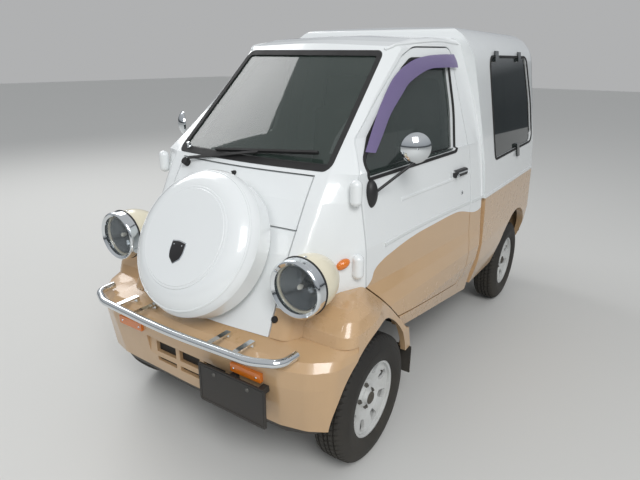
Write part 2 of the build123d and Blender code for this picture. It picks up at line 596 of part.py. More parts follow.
lug = box(280, 290, BODY_BACK - 20, HATCH_HINGE[0] + 8, HATCH_HINGE[1] - 8, HATCH_HINGE[1] + 8)
lug = lug + crosswise(PIN_RADIUS, 232, 282, *HATCH_HINGE)
canopy = canopy + lug + mirror(lug, about=Plane.YZ)
canopy = max(canopy.solids(), key=lambda solid: solid.volume)
keep("canopy", canopy)


def side_band(inner, outer, z_from, z_to):
    """A strip along the canopy's side, between two depths from its surface."""
    (x_low, z_low), (x_high, z_high) = CANOPY_SECTION[1:]
    slope = (x_high - x_low) / (z_high - z_low)
    ends = [(x_low + slope * (z - z_low), z) for z in (z_from, z_to)]
    points = [(ends[0][0] + inner, z_from), (ends[1][0] + inner, z_to), (ends[1][0] + outer, z_to), (ends[0][0] + outer, z_from)]
    return from_front(points, 0, 1200, 2120)


PANE_DEPTH = (-13, -7)
pane_outline = grown(flat(SIDE_WINDOW, SIDE_WINDOW_CORNERS), -SEAT_GAP)
side_pane = side_band(*PANE_DEPTH, 1020, 1560) & extrude(Plane.YZ.offset(450) * pane_outline, 270)
for y in (1366, 1822):
    tab_in = side_band(-10, 1, 1532, 1551) & box(450, 720, y - 30, y + 30, 1500, 1600)
    tab_out = side_band(SEAT_GAP, 7, 1532, 1586) & box(450, 720, y - 30, y + 30, 1500, 1600)
    side_pane = side_pane + tab_in + tab_out
latch_in = side_band(-10, 1, 1047, 1066) & box(450, 720, 1700, 1750, 1000, 1100)
latch_out = side_band(SEAT_GAP, 9, 990, 1066) & box(450, 720, 1700, 1750, 980, 1100)
side_pane = side_pane + latch_in + latch_out
keep("canopy_windows", *pair(side_pane))
hatch_fit = [(HATCH[0][0] - SEAM, SILL_TOP + SEAM), (HATCH[1][0] - SEAM, HATCH[1][1] - SEAM)]
hatch_leaf = from_front(mirrored(hatch_fit), [20, 64, 64, 20], BODY_BACK - CANOPY_WALL, BODY_BACK)
glass_hole = [(HATCH[0][0] - 60, SILL_TOP + 150), (HATCH[1][0] - 50, HATCH[1][1] - 60)]
hatch_leaf = hatch_leaf - from_front(mirrored(glass_hole), 40, BODY_BACK - 70, BODY_BACK + 10)
for x in (-250, 250):
    hatch_leaf = hatch_leaf + box(x - 25, x + 25, BODY_BACK - 1, BODY_BACK + 10, 1496, 1550)
    hatch_leaf = hatch_leaf + box(x - 25, x + 25, BODY_BACK + 6, BODY_BACK + 10, 1540, HATCH_HINGE[1])
    hatch_leaf = hatch_leaf + crosswise(HINGE_BARREL, x - 25, x + 25, *HATCH_HINGE)
    hatch_leaf = hatch_leaf - crosswise(PIN_RADIUS + PIN_CLEARANCE, x - 30, x + 30, *HATCH_HINGE)
keep("hatch", hatch_leaf)
glass_fit = [(x - SEAT_GAP, z) for x, z in glass_hole]
keep("hatch_pane", from_front(mirrored(glass_fit), 40, BODY_BACK - 18, BODY_BACK - 18 + GLASS)
     & from_front(mirrored([(x, z - SEAT_GAP if z > 1200 else z + SEAT_GAP) for x, z in glass_fit]), 40,
                  BODY_BACK - 60, BODY_BACK))

# Rear bumper and lamps
bumper_outline = ((-604, BODY_BACK - 70), (-604, REAR_END), (604, REAR_END), (604, BODY_BACK - 70))
rear_bumper = from_top(bumper_outline, [0, 90, 90, 0], 380, 560)
rear_bumper = rear_bumper - Pos(0, SEAT_GAP, 0) * cargo_block
keep("rear_bumper", max(rear_bumper.solids(), key=lambda solid: solid.volume))
lamp = box(545, 612, BODY_BACK - 80, BODY_BACK + 10, 640, 800)
lamp = fillet(lamp.edges().filter_by(Axis.Y), 10) - Pos(SEAT_GAP, SEAT_GAP, 0) * cargo_block
keep("tail_lamps", *pair(max(lamp.solids(), key=lambda solid: solid.volume)))

# Chassis: two rails with crossmembers, the engine under the seat and the cab floor
RAIL_X = 290
ENGINE_PLACE = (670, 1045, 345, 600)
SPRING_HALF = (430, 350)
RAIL_POINTS = ((-300, 360), (-300, 430), (420, 430), (560, 330), (1150, 330), (1330, 500), (2180, 500),
               (2180, 430), (1370, 430), (1180, 270), (540, 270), (390, 360))
rail = from_side(RAIL_POINTS, 0, RAIL_X - 30, RAIL_X + 30)
chassis = rail + mirror(rail, about=Plane.YZ)
for y, z in ((-280, 395), (200, 395), (620, 300), (1100, 300), (1420, 465), (2140, 465)):
    chassis = chassis + box(-RAIL_X, RAIL_X, y - 25, y + 25, z - 25, z + 25)
for y in (WHEELBASE - SPRING_HALF[0] + 12, WHEELBASE + SPRING_HALF[1] - 12):
    for hanger in pair(box(RAIL_X, 434, y - 12, y + 12, 392.3, 445)):
        chassis = chassis + hanger
chassis = chassis + box(-RAIL_X, RAIL_X, 835, 885, 290, ENGINE_PLACE[2] - SEAT_GAP)
keep("chassis", chassis)
keep("engine_block", box(-210, 210, ENGINE_PLACE[0], ENGINE_PLACE[1], ENGINE_PLACE[2], ENGINE_PLACE[3]))
PAN = 14
FOOT_LEVEL = 430 + SEAT_GAP + PAN
FOOT_HALF = 335
pan_top = ((-236, 640), (-160, FOOT_LEVEL), (ENGINE_PLACE[0] - 30, FOOT_LEVEL), (ENGINE_PLACE[0] - 30, ENGINE_PLACE[3] + 30),
           (CAB_BACK - WALL - SEAT_GAP, ENGINE_PLACE[3] + 30))
pan_low = [(y - PAN * (k == 3), z - PAN) for k, (y, z) in enumerate(pan_top)]
pan_low[2] = (pan_top[2][0] + PAN, pan_top[2][1] - PAN)
pan_low[3] = (pan_top[3][0] + PAN, pan_top[3][1] - PAN)
pan_low[0] = (pan_top[0][0] - PAN, pan_top[0][1] - PAN)
floor_pan = from_side(list(pan_top) + pan_low[::-1], 0, -FOOT_HALF, FOOT_HALF)
floor_wings = box(FOOT_HALF, 548, 330, 600, FOOT_LEVEL - PAN, FOOT_LEVEL)
tower = box(FOOT_HALF, FOOT_HALF + PAN, -236, 330, FOOT_LEVEL - PAN, 690) + box(FOOT_HALF, 480, -230, 330, 676, 690)
tower = tower + box(FOOT_HALF, 548, 330, 344, FOOT_LEVEL - PAN, 690)
side_pan = box(FOOT_HALF, 548, 600, 1084, FOOT_LEVEL - PAN, FOOT_LEVEL)
floor_pan = floor_pan + floor_wings + tower + side_pan
floor_pan = floor_pan + mirror(floor_wings + tower + side_pan, about=Plane.YZ)
floor_pan = floor_pan - (box(-700, 700, -400, 1200, 300, 800) - cab_envelope(WALL + SEAT_GAP))
keep("cab_floor", floor_pan)

# Inside the cab
keep("dashboard", box(-420, 420, -100, 120, 900, 1060) & cab_envelope(WALL + SEAT_GAP))
WHEEL_HUB = (-60, 330, 1010)
COLUMN_LEAN = 42
column_dir = Vector(0, math.cos(math.radians(COLUMN_LEAN)), math.sin(math.radians(COLUMN_LEAN)))
hub_point = Vector(*WHEEL_HUB)
COLUMN_LENGTH = 690
COLUMN_TOP = 26
column_plane = Plane(origin=hub_point, x_dir=(1, 0, 0), z_dir=-column_dir)
column = column_plane * (Pos(0, 0, COLUMN_TOP + 140) * Cylinder(26, 280))
column = column + column_plane * (Pos(0, 0, COLUMN_TOP - 8) * Cylinder(PIVOT_RADIUS, 24))
column = column + column_plane * (Pos(0, 0, (COLUMN_TOP + 260 + COLUMN_LENGTH) / 2) * Cylinder(11, COLUMN_LENGTH - COLUMN_TOP - 260))
column = column + box(WHEEL_HUB[0] - 20, WHEEL_HUB[0] + 20, 90, 115, 820, 900 - SEAT_GAP)
keep("steering_column", column)
wheel_plane = Plane(origin=hub_point, x_dir=(1, 0, 0), z_dir=column_dir)
hub_bore = Pos(0, 0, -24) * Cylinder(PIVOT_RADIUS + PIN_CLEARANCE, 40)
steering_wheel = wheel_plane * (Torus(180, 13) + Pos(0, 0, -8) * Cylinder(34, 24) + Box(350, 26, 10) - hub_bore)
keep("steering_wheel", steering_wheel)
SEAT_LEFT, SEAT_RIGHT = 160, -360
seat_base = ENGINE_PLACE[3] + 30 + SEAT_GAP
cushion = box(SEAT_RIGHT, SEAT_LEFT, 560, 985, seat_base, seat_base + 110)
backrest = from_side(((925, seat_base + 110 + SEAT_GAP), (1015, seat_base + 110 + SEAT_GAP), (1060, 1280), (985, 1280)), 20,
                     SEAT_RIGHT, SEAT_LEFT)
keep("seat", fillet(cushion.edges().filter_by(Axis.X), 30), backrest)

# Axles, springs and knuckles
WHEEL_Z = TYRE_DIAMETER / 2
AXLE_HALF = REAR_TRACK / 2 - 45
AXLE_END = REAR_TRACK / 2 + STUB_REACH
AXLE_TUBE = 32
BANJO = 105
axle_outline = [(AXLE_END, 0), (AXLE_END, STUB_RADIUS), (AXLE_HALF, STUB_RADIUS), (AXLE_HALF, AXLE_TUBE),
                (BANJO + 20, AXLE_TUBE), (BANJO - 30, BANJO - 18), (BANJO - 70, BANJO)]
axle_profile = make_face(Polyline(*axle_outline, *[(-x, r) for x, r in reversed(axle_outline)], close=True))
axle = Pos(0, WHEELBASE, WHEEL_Z) * revolve(axle_profile, Axis.X)
SPRING_X = 405
SPRING_WIDTH = 50
SPRING_LOW = WHEEL_Z + AXLE_TUBE + SEAT_GAP
spring = from_side(((WHEELBASE - SPRING_HALF[0], 372), (WHEELBASE - SPRING_HALF[0], 392), (WHEELBASE, SPRING_LOW + 20),
                    (WHEELBASE + SPRING_HALF[1], 392), (WHEELBASE + SPRING_HALF[1], 372),
                    (WHEELBASE, SPRING_LOW)), [0, 0, 500, 0, 0, 500],
                   SPRING_X - SPRING_WIDTH / 2, SPRING_X + SPRING_WIDTH / 2)
keep("leaf_springs", *pair(spring))
spring_seat = box(SPRING_X - 20, SPRING_X + 20, WHEELBASE - 30, WHEELBASE + 30, WHEEL_Z + 10, WHEEL_Z + 46)
spring_seat = spring_seat - Pos(0, 0, -SEAT_GAP) * spring
axle = axle + spring_seat + mirror(spring_seat, about=Plane.YZ)
keep("rear_axle", axle)
BALL_JOINT = 490
STRUT_TOP = (424, 655)
beam = box(-RAIL_X - 30, RAIL_X + 30, -45, 45, 250, 359.7)
arm = from_top(((RAIL_X - 20, -60), (BALL_JOINT + 20, -24), (BALL_JOINT + 20, 24), (RAIL_X - 20, 60)), [0, 20, 20, 0], 160, 184)
arm_foot = box(RAIL_X - 20, RAIL_X + 30, -45, 45, 160, 260)
beam = beam + arm + arm_foot + mirror(arm + arm_foot, about=Plane.YZ)
ARM_TOP = 184
BOSS_TOP = 216
ball_pin = Pos(BALL_JOINT, 0, (ARM_TOP + BOSS_TOP) / 2 - 6) * Cylinder(PIVOT_RADIUS, BOSS_TOP - ARM_TOP - 8)
beam = beam + ball_pin + mirror(ball_pin, about=Plane.YZ)
keep("front_suspension", beam)
knuckle = box(448, 472, -40, 40, 190, 350) + box(448, BALL_JOINT + 20, -22, 22, ARM_TOP + 6, BOSS_TOP)
knuckle = knuckle - Pos(BALL_JOINT, 0, ARM_TOP + 5) * Cylinder(PIVOT_RADIUS + PIN_CLEARANCE, 50)
strut_plane = Plane(origin=(449, 0, 345), z_dir=(STRUT_TOP[0] - 449, 0, STRUT_TOP[1] - 345))
strut_length = math.hypot(STRUT_TOP[0] - 449, STRUT_TOP[1] - 345)
strut = strut_plane * (Pos(0, 0, strut_length / 2) * Cylinder(21, strut_length))
strut = strut + strut_plane * (Pos(0, 0, -10) * Box(34, 60, 60))
stub = crosswise(STUB_RADIUS, 460, FRONT_TRACK / 2 + STUB_REACH, 0, WHEEL_Z)
knuckle = knuckle + strut + stub
keep("knuckle_left", knuckle)
keep("knuckle_right", mirror(knuckle, about=Plane.YZ))

# Wheels: a tyre and a cast rim with windows between its spokes, both as (radius, outward distance
# from the wheel's middle); half of the tyre's outline, which is the same on both sides
TYRE_HALF = (
    (RIM_DIAMETER / 2, TYRE_WIDTH / 2 - 19), (RIM_DIAMETER / 2 + 8, TYRE_WIDTH / 2 - 10), (TYRE_DIAMETER / 2 - 76, TYRE_WIDTH / 2 - 2),
    (TYRE_DIAMETER / 2 - 52, TYRE_WIDTH / 2), (TYRE_DIAMETER / 2 - 30, TYRE_WIDTH / 2 - 3), (TYRE_DIAMETER / 2 - 15, TYRE_WIDTH / 2 - 10),
    (TYRE_DIAMETER / 2 - 5, TYRE_WIDTH / 2 - 20), (TYRE_DIAMETER / 2, TYRE_WIDTH / 2 - 42),
)


def turned(points):
    """A closed outline of (radius, outward distance), turned round the wheel's axis."""
    return revolve(make_face(Polyline(*[(r, -out) for r, out in points], close=True)), Axis.Y)


tyre = turned(list(TYRE_HALF) + [(r, -out) for r, out in reversed(TYRE_HALF)])
rim_half = RIM_WIDTH / 2
rim_r = RIM_DIAMETER / 2 - SEAT_GAP
open_r = RIM_OPEN_DIAMETER / 2
DISH = ((open_r + 4, rim_half - 14), (100, rim_half - 24), (66, rim_half - 38), (50, rim_half - 38), (40, rim_half - 30),
        (WHEEL_CAP_RADIUS, rim_half - 30), (WHEEL_CAP_RADIUS - 3, rim_half - 14), (12, rim_half - 9), (0, rim_half - 9))
rim = turned(((open_r - 2, rim_half - 2), (open_r, rim_half), (rim_r, rim_half), (rim_r, -rim_half), (open_r, -rim_half)))
disc = turned(list(DISH) + [(0, rim_half - 40), (60, rim_half - 40 - DISC_THICKNESS), (104, rim_half - 24 - DISC_THICKNESS),
                            (open_r + 4, rim_half - 14 - DISC_THICKNESS)])
window_outline = ((96, -13), (141, -22), (141, 22), (96, 13))
for k in range(SPOKE_WINDOWS):
    window = Rot(0, 360 / SPOKE_WINDOWS * (k + 0.5), 0) * from_front([(x, z) for x, z in window_outline], 9, -rim_half, 0)
    disc = disc - window
hub = Pos(0, -6, 0) * Rot(90, 0, 0) * Cylinder(34, 46)
bearing = Pos(0, 50 - STUB_REACH - 0.5, 0) * Rot(90, 0, 0) * Cylinder(STUB_RADIUS + STUB_CLEARANCE, 100)
rim = rim + disc + hub - bearing
PLACES = {
    "front_left": (FRONT_TRACK / 2, 0, 1), "front_right": (-FRONT_TRACK / 2, 0, -1),
    "rear_left": (REAR_TRACK / 2, WHEELBASE, 1), "rear_right": (-REAR_TRACK / 2, WHEELBASE, -1),
}
for name, (x, y, side) in PLACES.items():
    place = Pos(x, y, WHEEL_Z) * Rot(0, 0, 90 * side)
    keep("tyre_" + name, place * tyre)
    keep("rim_" + name, place * rim)

# Exhaust and mud flaps
silencer = crosswise(60, -235, 235, 2010, 330)
front_pipe = Pos(170, (ENGINE_PLACE[1] + 1970) / 2 + 0.2, 370) * Rot(90, 0, 0) * Cylinder(17, 1970 - ENGINE_PLACE[1])
tail_pipe = Pos(190, 2150, 320) * Rot(90, 0, 0) * Cylinder(17, 240)
silencer = silencer + front_pipe + tail_pipe
for strap in pair(box(190, 300, 2000, 2020, 375, 430 - SEAT_GAP)):
    silencer = silencer + strap
keep("exhaust", silencer)
flap = box(476, 628, 308, 314, 222, 352 - SEAT_GAP)
keep("mud_flaps", *pair(flap))

os.makedirs("parts", exist_ok=True)
for name, solids in nodes.items():
    shape = solids[0] if len(solids) == 1 else Compound(solids)
    export_step(shape, "parts/" + name + ".step")
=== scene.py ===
import bpy
import bmesh
import math
from mathutils import Matrix, Vector
from mathutils.bvhtree import BVHTree


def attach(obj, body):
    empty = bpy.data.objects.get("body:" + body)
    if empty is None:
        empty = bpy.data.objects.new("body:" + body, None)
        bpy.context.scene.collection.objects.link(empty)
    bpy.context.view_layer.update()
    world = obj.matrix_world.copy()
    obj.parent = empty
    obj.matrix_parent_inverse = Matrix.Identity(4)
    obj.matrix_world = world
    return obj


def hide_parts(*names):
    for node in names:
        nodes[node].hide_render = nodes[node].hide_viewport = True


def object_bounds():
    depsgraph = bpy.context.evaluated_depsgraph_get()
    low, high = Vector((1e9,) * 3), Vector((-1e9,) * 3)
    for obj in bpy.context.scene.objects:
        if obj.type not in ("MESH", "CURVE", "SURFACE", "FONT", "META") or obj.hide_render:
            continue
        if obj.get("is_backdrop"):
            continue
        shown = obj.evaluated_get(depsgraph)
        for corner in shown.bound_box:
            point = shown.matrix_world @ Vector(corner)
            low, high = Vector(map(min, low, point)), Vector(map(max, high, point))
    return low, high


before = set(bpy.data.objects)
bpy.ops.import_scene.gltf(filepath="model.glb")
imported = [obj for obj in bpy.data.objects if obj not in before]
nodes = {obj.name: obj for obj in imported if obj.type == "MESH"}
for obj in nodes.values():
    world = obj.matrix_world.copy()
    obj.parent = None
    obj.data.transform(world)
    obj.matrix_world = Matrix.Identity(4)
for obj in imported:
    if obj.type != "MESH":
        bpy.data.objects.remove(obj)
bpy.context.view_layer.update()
scene = bpy.context.scene
scene.view_settings.view_transform = "Standard"

# Camera: where the photographer stood, off the car's left front corner at eye height, with a
# short lens. The angles come from the car's own known sizes.
FOCAL_PIXELS = 520.8
PHOTO_WIDTH = 640
PHOTO_HEIGHT = 480
SENSOR = 36
FRONT_AXLE = 888
cam_data = bpy.data.cameras.new("viewpoint")
cam_data.sensor_width = SENSOR
cam_data.lens = FOCAL_PIXELS / PHOTO_WIDTH * SENSOR
camera = bpy.data.objects.new("viewpoint", cam_data)
scene.collection.objects.link(camera)
scene.camera = camera
EYE = (1.4070, -1.5756 - FRONT_AXLE / 1000, 1.5459)
yaw, pitch, roll = math.radians(33.865), math.radians(19.337), math.radians(0.57)
ahead = Vector((-math.sin(yaw) * math.cos(pitch), math.cos(yaw) * math.cos(pitch), -math.sin(pitch)))
across = ahead.cross(Vector((0, 0, 1))).normalized()
upward = across.cross(ahead)
across_rolled = across * math.cos(roll) + upward * math.sin(roll)
upward_rolled = upward * math.cos(roll) - across * math.sin(roll)
turn = Matrix((across_rolled, upward_rolled, -ahead)).transposed()
camera.matrix_world = Matrix.Translation(EYE) @ turn.to_4x4()


# Floor: a plain pale ground, so wide that no edge of it shows, with a broad, faint drift of tint.
def linear(code):
    """An sRGB hex value as the linear colour that the shaders take."""
    parts = [int(code[k:k + 2], 16) / 255 for k in (0, 2, 4)]
    return tuple(c / 12.92 if c <= 0.04045 else ((c + 0.055) / 1.055) ** 2.4 for c in parts) + (1.0,)


def add(tree, kind, inputs=(), **settings):
    """Adds one node. Inputs maps a socket's name or number to a value or to the socket that feeds it.

    A mix of colours takes its factor in socket 0 and the colours in 6 and 7. A map range takes the
    span it reads in 1 and 2, and the span it gives in 3 and 4.
    """
    node = tree.nodes.new(kind)
    for name, value in settings.items():
        setattr(node, name, value)
    for socket, value in dict(inputs).items():
        if isinstance(value, bpy.types.NodeSocket):
            tree.links.new(value, node.inputs[socket])
        else:
            node.inputs[socket].default_value = value
    return node


def empty_material(name):
    """A new, empty material and its node tree."""
    made = bpy.data.materials.new(name)
    made.use_nodes = True
    made.node_tree.nodes.clear()
    return made, made.node_tree


floor_paint, tree = empty_material("pale_floor")
grain = add(tree, "ShaderNodeTexNoise", {"Scale": 1.5, "Detail": 3.0})
shade = add(tree, "ShaderNodeBsdfPrincipled", {"Base Color": linear("D5D5D2"), "Roughness": 0.75})
mix = add(tree, "ShaderNodeMix", {0: grain.outputs[0], 6: linear("D9D9D6"), 7: linear("D2D2CF")},
          data_type="RGBA")
tree.links.new(mix.outputs[2], shade.inputs["Base Color"])
add(tree, "ShaderNodeOutputMaterial", {"Surface": shade.outputs["BSDF"]})
floor_mesh = bpy.data.meshes.new("floor")
floor_mesh.from_pydata([(-30, -30, 0), (30, -30, 0), (30, 30, 0), (-30, 30, 0)], [], [(0, 1, 2, 3)])
floor = bpy.data.objects.new("floor", floor_mesh)
floor_mesh.materials.append(floor_paint)
scene.collection.objects.link(floor)
floor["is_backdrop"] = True

# Light: a soft sky, brighter overhead and darker towards the ground so that chrome has
# something to mirror, and two large soft lamps, one above the left front and one above the right.
world = bpy.data.worlds.new("soft_sky")
scene.world = world
world.use_nodes = True
tree = world.node_tree
tree.nodes.clear()
way = add(tree, "ShaderNodeTexCoord").outputs["Generated"]
height = add(tree, "ShaderNodeSeparateXYZ", {"Vector": way}).outputs["Z"]
ramp = add(tree, "ShaderNodeValToRGB", {"Fac": height})
ramp.color_ramp.elements[0].position = 0.0
ramp.color_ramp.elements[0].color = linear("5C6064")
ramp.color_ramp.elements[1].position = 0.62
ramp.color_ramp.elements[1].color = linear("F6F8FB")
for spot, code in ((0.06, "6E7276"), (0.09, "C9CDD2"), (0.3, "DDE1E6")):
    stop = ramp.color_ramp.elements.new(spot)
    stop.color = linear(code)
rays = add(tree, "ShaderNodeLightPath")
seen = add(tree, "ShaderNodeMix", {0: rays.outputs["Is Camera Ray"], 6: ramp.outputs["Color"],
                                   7: linear("E4E5E6")},
           data_type="RGBA")
back = add(tree, "ShaderNodeBackground", {"Color": seen.outputs[2], "Strength": 0.56})
add(tree, "ShaderNodeOutputWorld", {"Surface": back.outputs["Background"]})
for name, place, aim, size, power in (
    ("key", (4.0, -4.5, 5.5), (0, -0.3, 0.8), 3.0, 270), ("fill", (-5.0, 1.0, 5.0), (0, 0, 0.8), 4.0, 150),
):
    lamp_data = bpy.data.lights.new(name, "AREA")
    lamp_data.size = size
    lamp_data.energy = power
    lamp = bpy.data.objects.new(name, lamp_data)
    scene.collection.objects.link(lamp)
    lamp.location = place
    lamp.rotation_mode = "QUATERNION"
    lamp.rotation_quaternion = (Vector(aim) - Vector(place)).to_track_quat("-Z", "Y")


# White and tan enamel on pressed steel: sprayed coats with a fine orange peel, a clear gloss and
# road dust low down. On the doors and the cab the tan starts below a curved line at belt height.
TWO_TONE_EDGE = (
    (-15, 700), (30, 708), (73, 731), (95, 768), (150, 794), (215, 808), (390, 833), (570, 841), (790, 845),
    (1129, 824),
)
EDGE_FROM = -0.9
EDGE_TO = 0.3
EDGE_BLUR = 0.0008
DUST_FULL = 0.16
DUST_END = 0.62


def surface(name, code, second, rough, metal=0.0, coat=0.0, cloud=3.0, peel=0.0, peel_scale=700.0, dust=0.0,
            lower=None, spread=0.06, weave=None):
    """A material whose colour drifts between two tints, with uneven gloss, relief and dust low down."""
    made, tree = empty_material(name)
    place = add(tree, "ShaderNodeTexCoord").outputs["Object"]
    drift = add(tree, "ShaderNodeTexNoise",
                {"Vector": place, "Scale": cloud, "Detail": 5.0, "Roughness": 0.6}).outputs[0]
    tint = add(tree, "ShaderNodeMix", {0: drift, 6: linear(code), 7: linear(second)},
               data_type="RGBA").outputs[2]
    axes = add(tree, "ShaderNodeSeparateXYZ", {"Vector": place})
    if lower:
        station = add(tree, "ShaderNodeMapRange", {"Value": axes.outputs["Y"], 1: EDGE_FROM, 2: EDGE_TO})
        line = add(tree, "ShaderNodeFloatCurve", {"Value": station.outputs[0]})
        curve = line.mapping.curves[0]
        for k, (y, z) in enumerate(TWO_TONE_EDGE):
            spot = ((y - FRONT_AXLE) / 1000 - EDGE_FROM) / (EDGE_TO - EDGE_FROM)
            if k in (0, len(TWO_TONE_EDGE) - 1):
                curve.points[min(k, 1)].location = (spot, z / 1000)
            else:
                curve.points.new(spot, z / 1000)
        line.mapping.update()
        under = add(tree, "ShaderNodeMath", {0: line.outputs[0], 1: axes.outputs["Z"]},
                    operation="SUBTRACT")
        edge = add(tree, "ShaderNodeMapRange",
                   {"Value": under.outputs[0], 1: -EDGE_BLUR, 2: EDGE_BLUR}).outputs[0]
        low_tint = add(tree, "ShaderNodeMix", {0: drift, 6: linear(lower[0]), 7: linear(lower[1])},
                       data_type="RGBA").outputs[2]
        tint = add(tree, "ShaderNodeMix", {0: edge, 6: tint, 7: low_tint}, data_type="RGBA").outputs[2]
    film = add(tree, "ShaderNodeTexNoise",
               {"Vector": place, "Scale": 14.0, "Detail": 6.0, "Roughness": 0.7}).outputs[0]
    low = add(tree, "ShaderNodeMapRange",
              {"Value": axes.outputs["Z"], 1: DUST_FULL, 2: DUST_END, 3: dust, 4: dust * 0.06})
    grime = add(tree, "ShaderNodeMath", {0: low.outputs[0], 1: film}, operation="MULTIPLY").outputs[0]
    colour = add(tree, "ShaderNodeMix", {0: grime, 6: tint, 7: linear("8F8676")},
                 data_type="RGBA").outputs[2]
    gloss = add(tree, "ShaderNodeMapRange",
                {"Value": film, 1: 0.3, 2: 0.7, 3: rough - spread, 4: rough + spread}).outputs[0]
    dull = add(tree, "ShaderNodeMath", {0: gloss, 1: grime}, operation="ADD", use_clamp=True).outputs[0]
    inputs = {"Base Color": colour, "Roughness": dull, "Metallic": metal, "Coat Weight": coat,
              "Coat Roughness": 0.06}
    if peel:
        if weave:
            relief = add(tree, "ShaderNodeTexWave",
                         {"Vector": place, "Scale": weave, "Distortion": 1.0}).outputs[1]
        else:
            relief = add(tree, "ShaderNodeTexNoise",
                         {"Vector": place, "Scale": peel_scale, "Detail": 2.0}).outputs[0]
        inputs["Normal"] = add(tree, "ShaderNodeBump",
                               {"Height": relief, "Strength": peel, "Distance": 0.0006}).outputs[0]
    shade = add(tree, "ShaderNodeBsdfPrincipled", inputs)
    add(tree, "ShaderNodeOutputMaterial", {"Surface": shade.outputs["BSDF"]})
    return made


def dress(material, *names):
    """Gives CAD nodes their material."""
    for name in names:
        mesh = nodes[name].data
        mesh.materials.clear()
        mesh.materials.append(material)


TAN = ("CBA981", "C4A27A")
two_tone = surface("two_tone_enamel", "EDF0F0", "E8ECED", 0.24, coat=0.8, peel=0.012, dust=0.22, lower=TAN,
                   spread=0.02)
white = surface("white_enamel", "EDF0F0", "E8ECED", 0.24, coat=0.8, peel=0.012, dust=0.2, spread=0.02)
tan = surface("tan_enamel", TAN[0], TAN[1], 0.27, coat=0.7, peel=0.012, dust=0.3, spread=0.02)
cream = surface("cream_enamel", "E9E2CB", "E2DAC1", 0.3, coat=0.5, peel=0.015, dust=0.15, spread=0.02)
dress(two_tone, "cab_shell", "door_left", "door_right")
dress(white, "nose_panel", "cowl_panel", "canopy", "hatch", "spare_cover")
dress(tan, "front_wings", "cargo_body", "tailgate", "front_bumper")
dress(cream, "headlamp_pods")

# Chrome plate on steel: the bar with its struts, the lamp rings and the mirrors, bright, faintly
# cloudy and a little dusty low down.
chrome = surface("chrome_plate", "E9ECEE", "DADFE2", 0.09, metal=1.0, cloud=9.0, peel=0.03, peel_scale=60,
                 dust=0.12, spread=0.03)
dress(chrome, "bumper_bar", "headlamp_rings", "door_left_mirror", "door_right_mirror")

# Black moulded plastic with a fine grain: number plate, valance, rear bumper, steering column and
# steering wheel. The dashboard is the same in grey. Rubber, duller and softer, with a chalky
# bloom: screen surround, mud flaps, wiper and the spare wheel's carrier.
black_plastic = surface("black_moulded_plastic", "1B1B1D", "232325", 0.45, peel=0.35, peel_scale=900,
                        dust=0.3, cloud=20)
rubber = surface("black_rubber", "161617", "202021", 0.68, peel=0.2, peel_scale=500, dust=0.35, cloud=30)
grey_plastic = surface("grey_moulded_plastic", "55585A", "4C4F51", 0.5, peel=0.35, peel_scale=900, dust=0.1,
                       cloud=20)
dress(black_plastic, "number_plate", "front_valance", "rear_bumper", "steering_column", "steering_wheel")
dress(rubber, "windscreen_seal", "mud_flaps", "wiper", "spare_carrier")
dress(grey_plastic, "dashboard")

# Underbody: rough, dusty black chassis paint, cast iron for the engine and dull steel for the
# springs and the exhaust. The cab has a ribbed rubber mat. The cargo floor is ribbed painted sheet,
# dulled by loads.
black_metal = surface("black_chassis_paint", "1E1F20", "2A2724", 0.5, peel=0.25, peel_scale=200, dust=0.6,
                      cloud=15)
cast = surface("cast_iron", "5A5C5C", "4A4945", 0.55, metal=0.8, peel=0.5, peel_scale=350, dust=0.5,
               cloud=25)
steel = surface("dull_steel", "77797A", "5E5B55", 0.42, metal=0.9, peel=0.2, peel_scale=250, dust=0.5,
                cloud=25)
mat_rubber = surface("ribbed_floor_mat", "262628", "1D1D1F", 0.75, peel=0.9, weave=60, dust=0.3)
floor_sheet = surface("scuffed_floor_paint", "8D9092", "6F7274", 0.5, metal=0.2, peel=0.3, weave=25,
                      dust=0.3, cloud=12)
dress(black_metal, "chassis", "front_suspension", "rear_axle", "knuckle_left", "knuckle_right")
dress(cast, "engine_block")
dress(steel, "leaf_springs", "exhaust")
dress(mat_rubber, "cab_floor")
dress(floor_sheet, "cargo_floor")

# Seat: two foam pads, the base and the backrest, in grey-brown woven cloth with three sewn channels.
# Each is its CAD solid, remeshed and puffed up by cloth pressure with a cap that
# keeps it near the solid.
seat_cloth = surface("woven_seat_cloth", "5B5650", "6A645C", 0.9, peel=1.0, weave=220, dust=0.1, cloud=60)
dress(seat_cloth, "seat")
VOXEL = 0.008
PUFF_CAP = 0.008
PUFF_FRAMES = 20
BACKREST_ABOVE = 1.1
CHANNELS = (-0.11, 0, 0.11)
CHANNEL_DEPTH = 0.005
CHANNEL_WIDTH = 0.007
whole = bmesh.new()
whole.from_mesh(nodes["seat"].data)
bmesh.ops.remove_doubles(whole, verts=whole.verts, dist=1e-6)
whole.verts.index_update()
left_over = set(whole.verts)
islands = []
for first_vertex in whole.verts:
    if first_vertex not in left_over:
        continue
    left_over.discard(first_vertex)
    island, reached = set(), [first_vertex]
    while reached:
        vertex = reached.pop()
        island.add(vertex.index)
        for link in vertex.link_edges:
            other = link.other_vert(vertex)
            if other in left_over:
                left_over.discard(other)
                reached.append(other)
    islands.append(island)
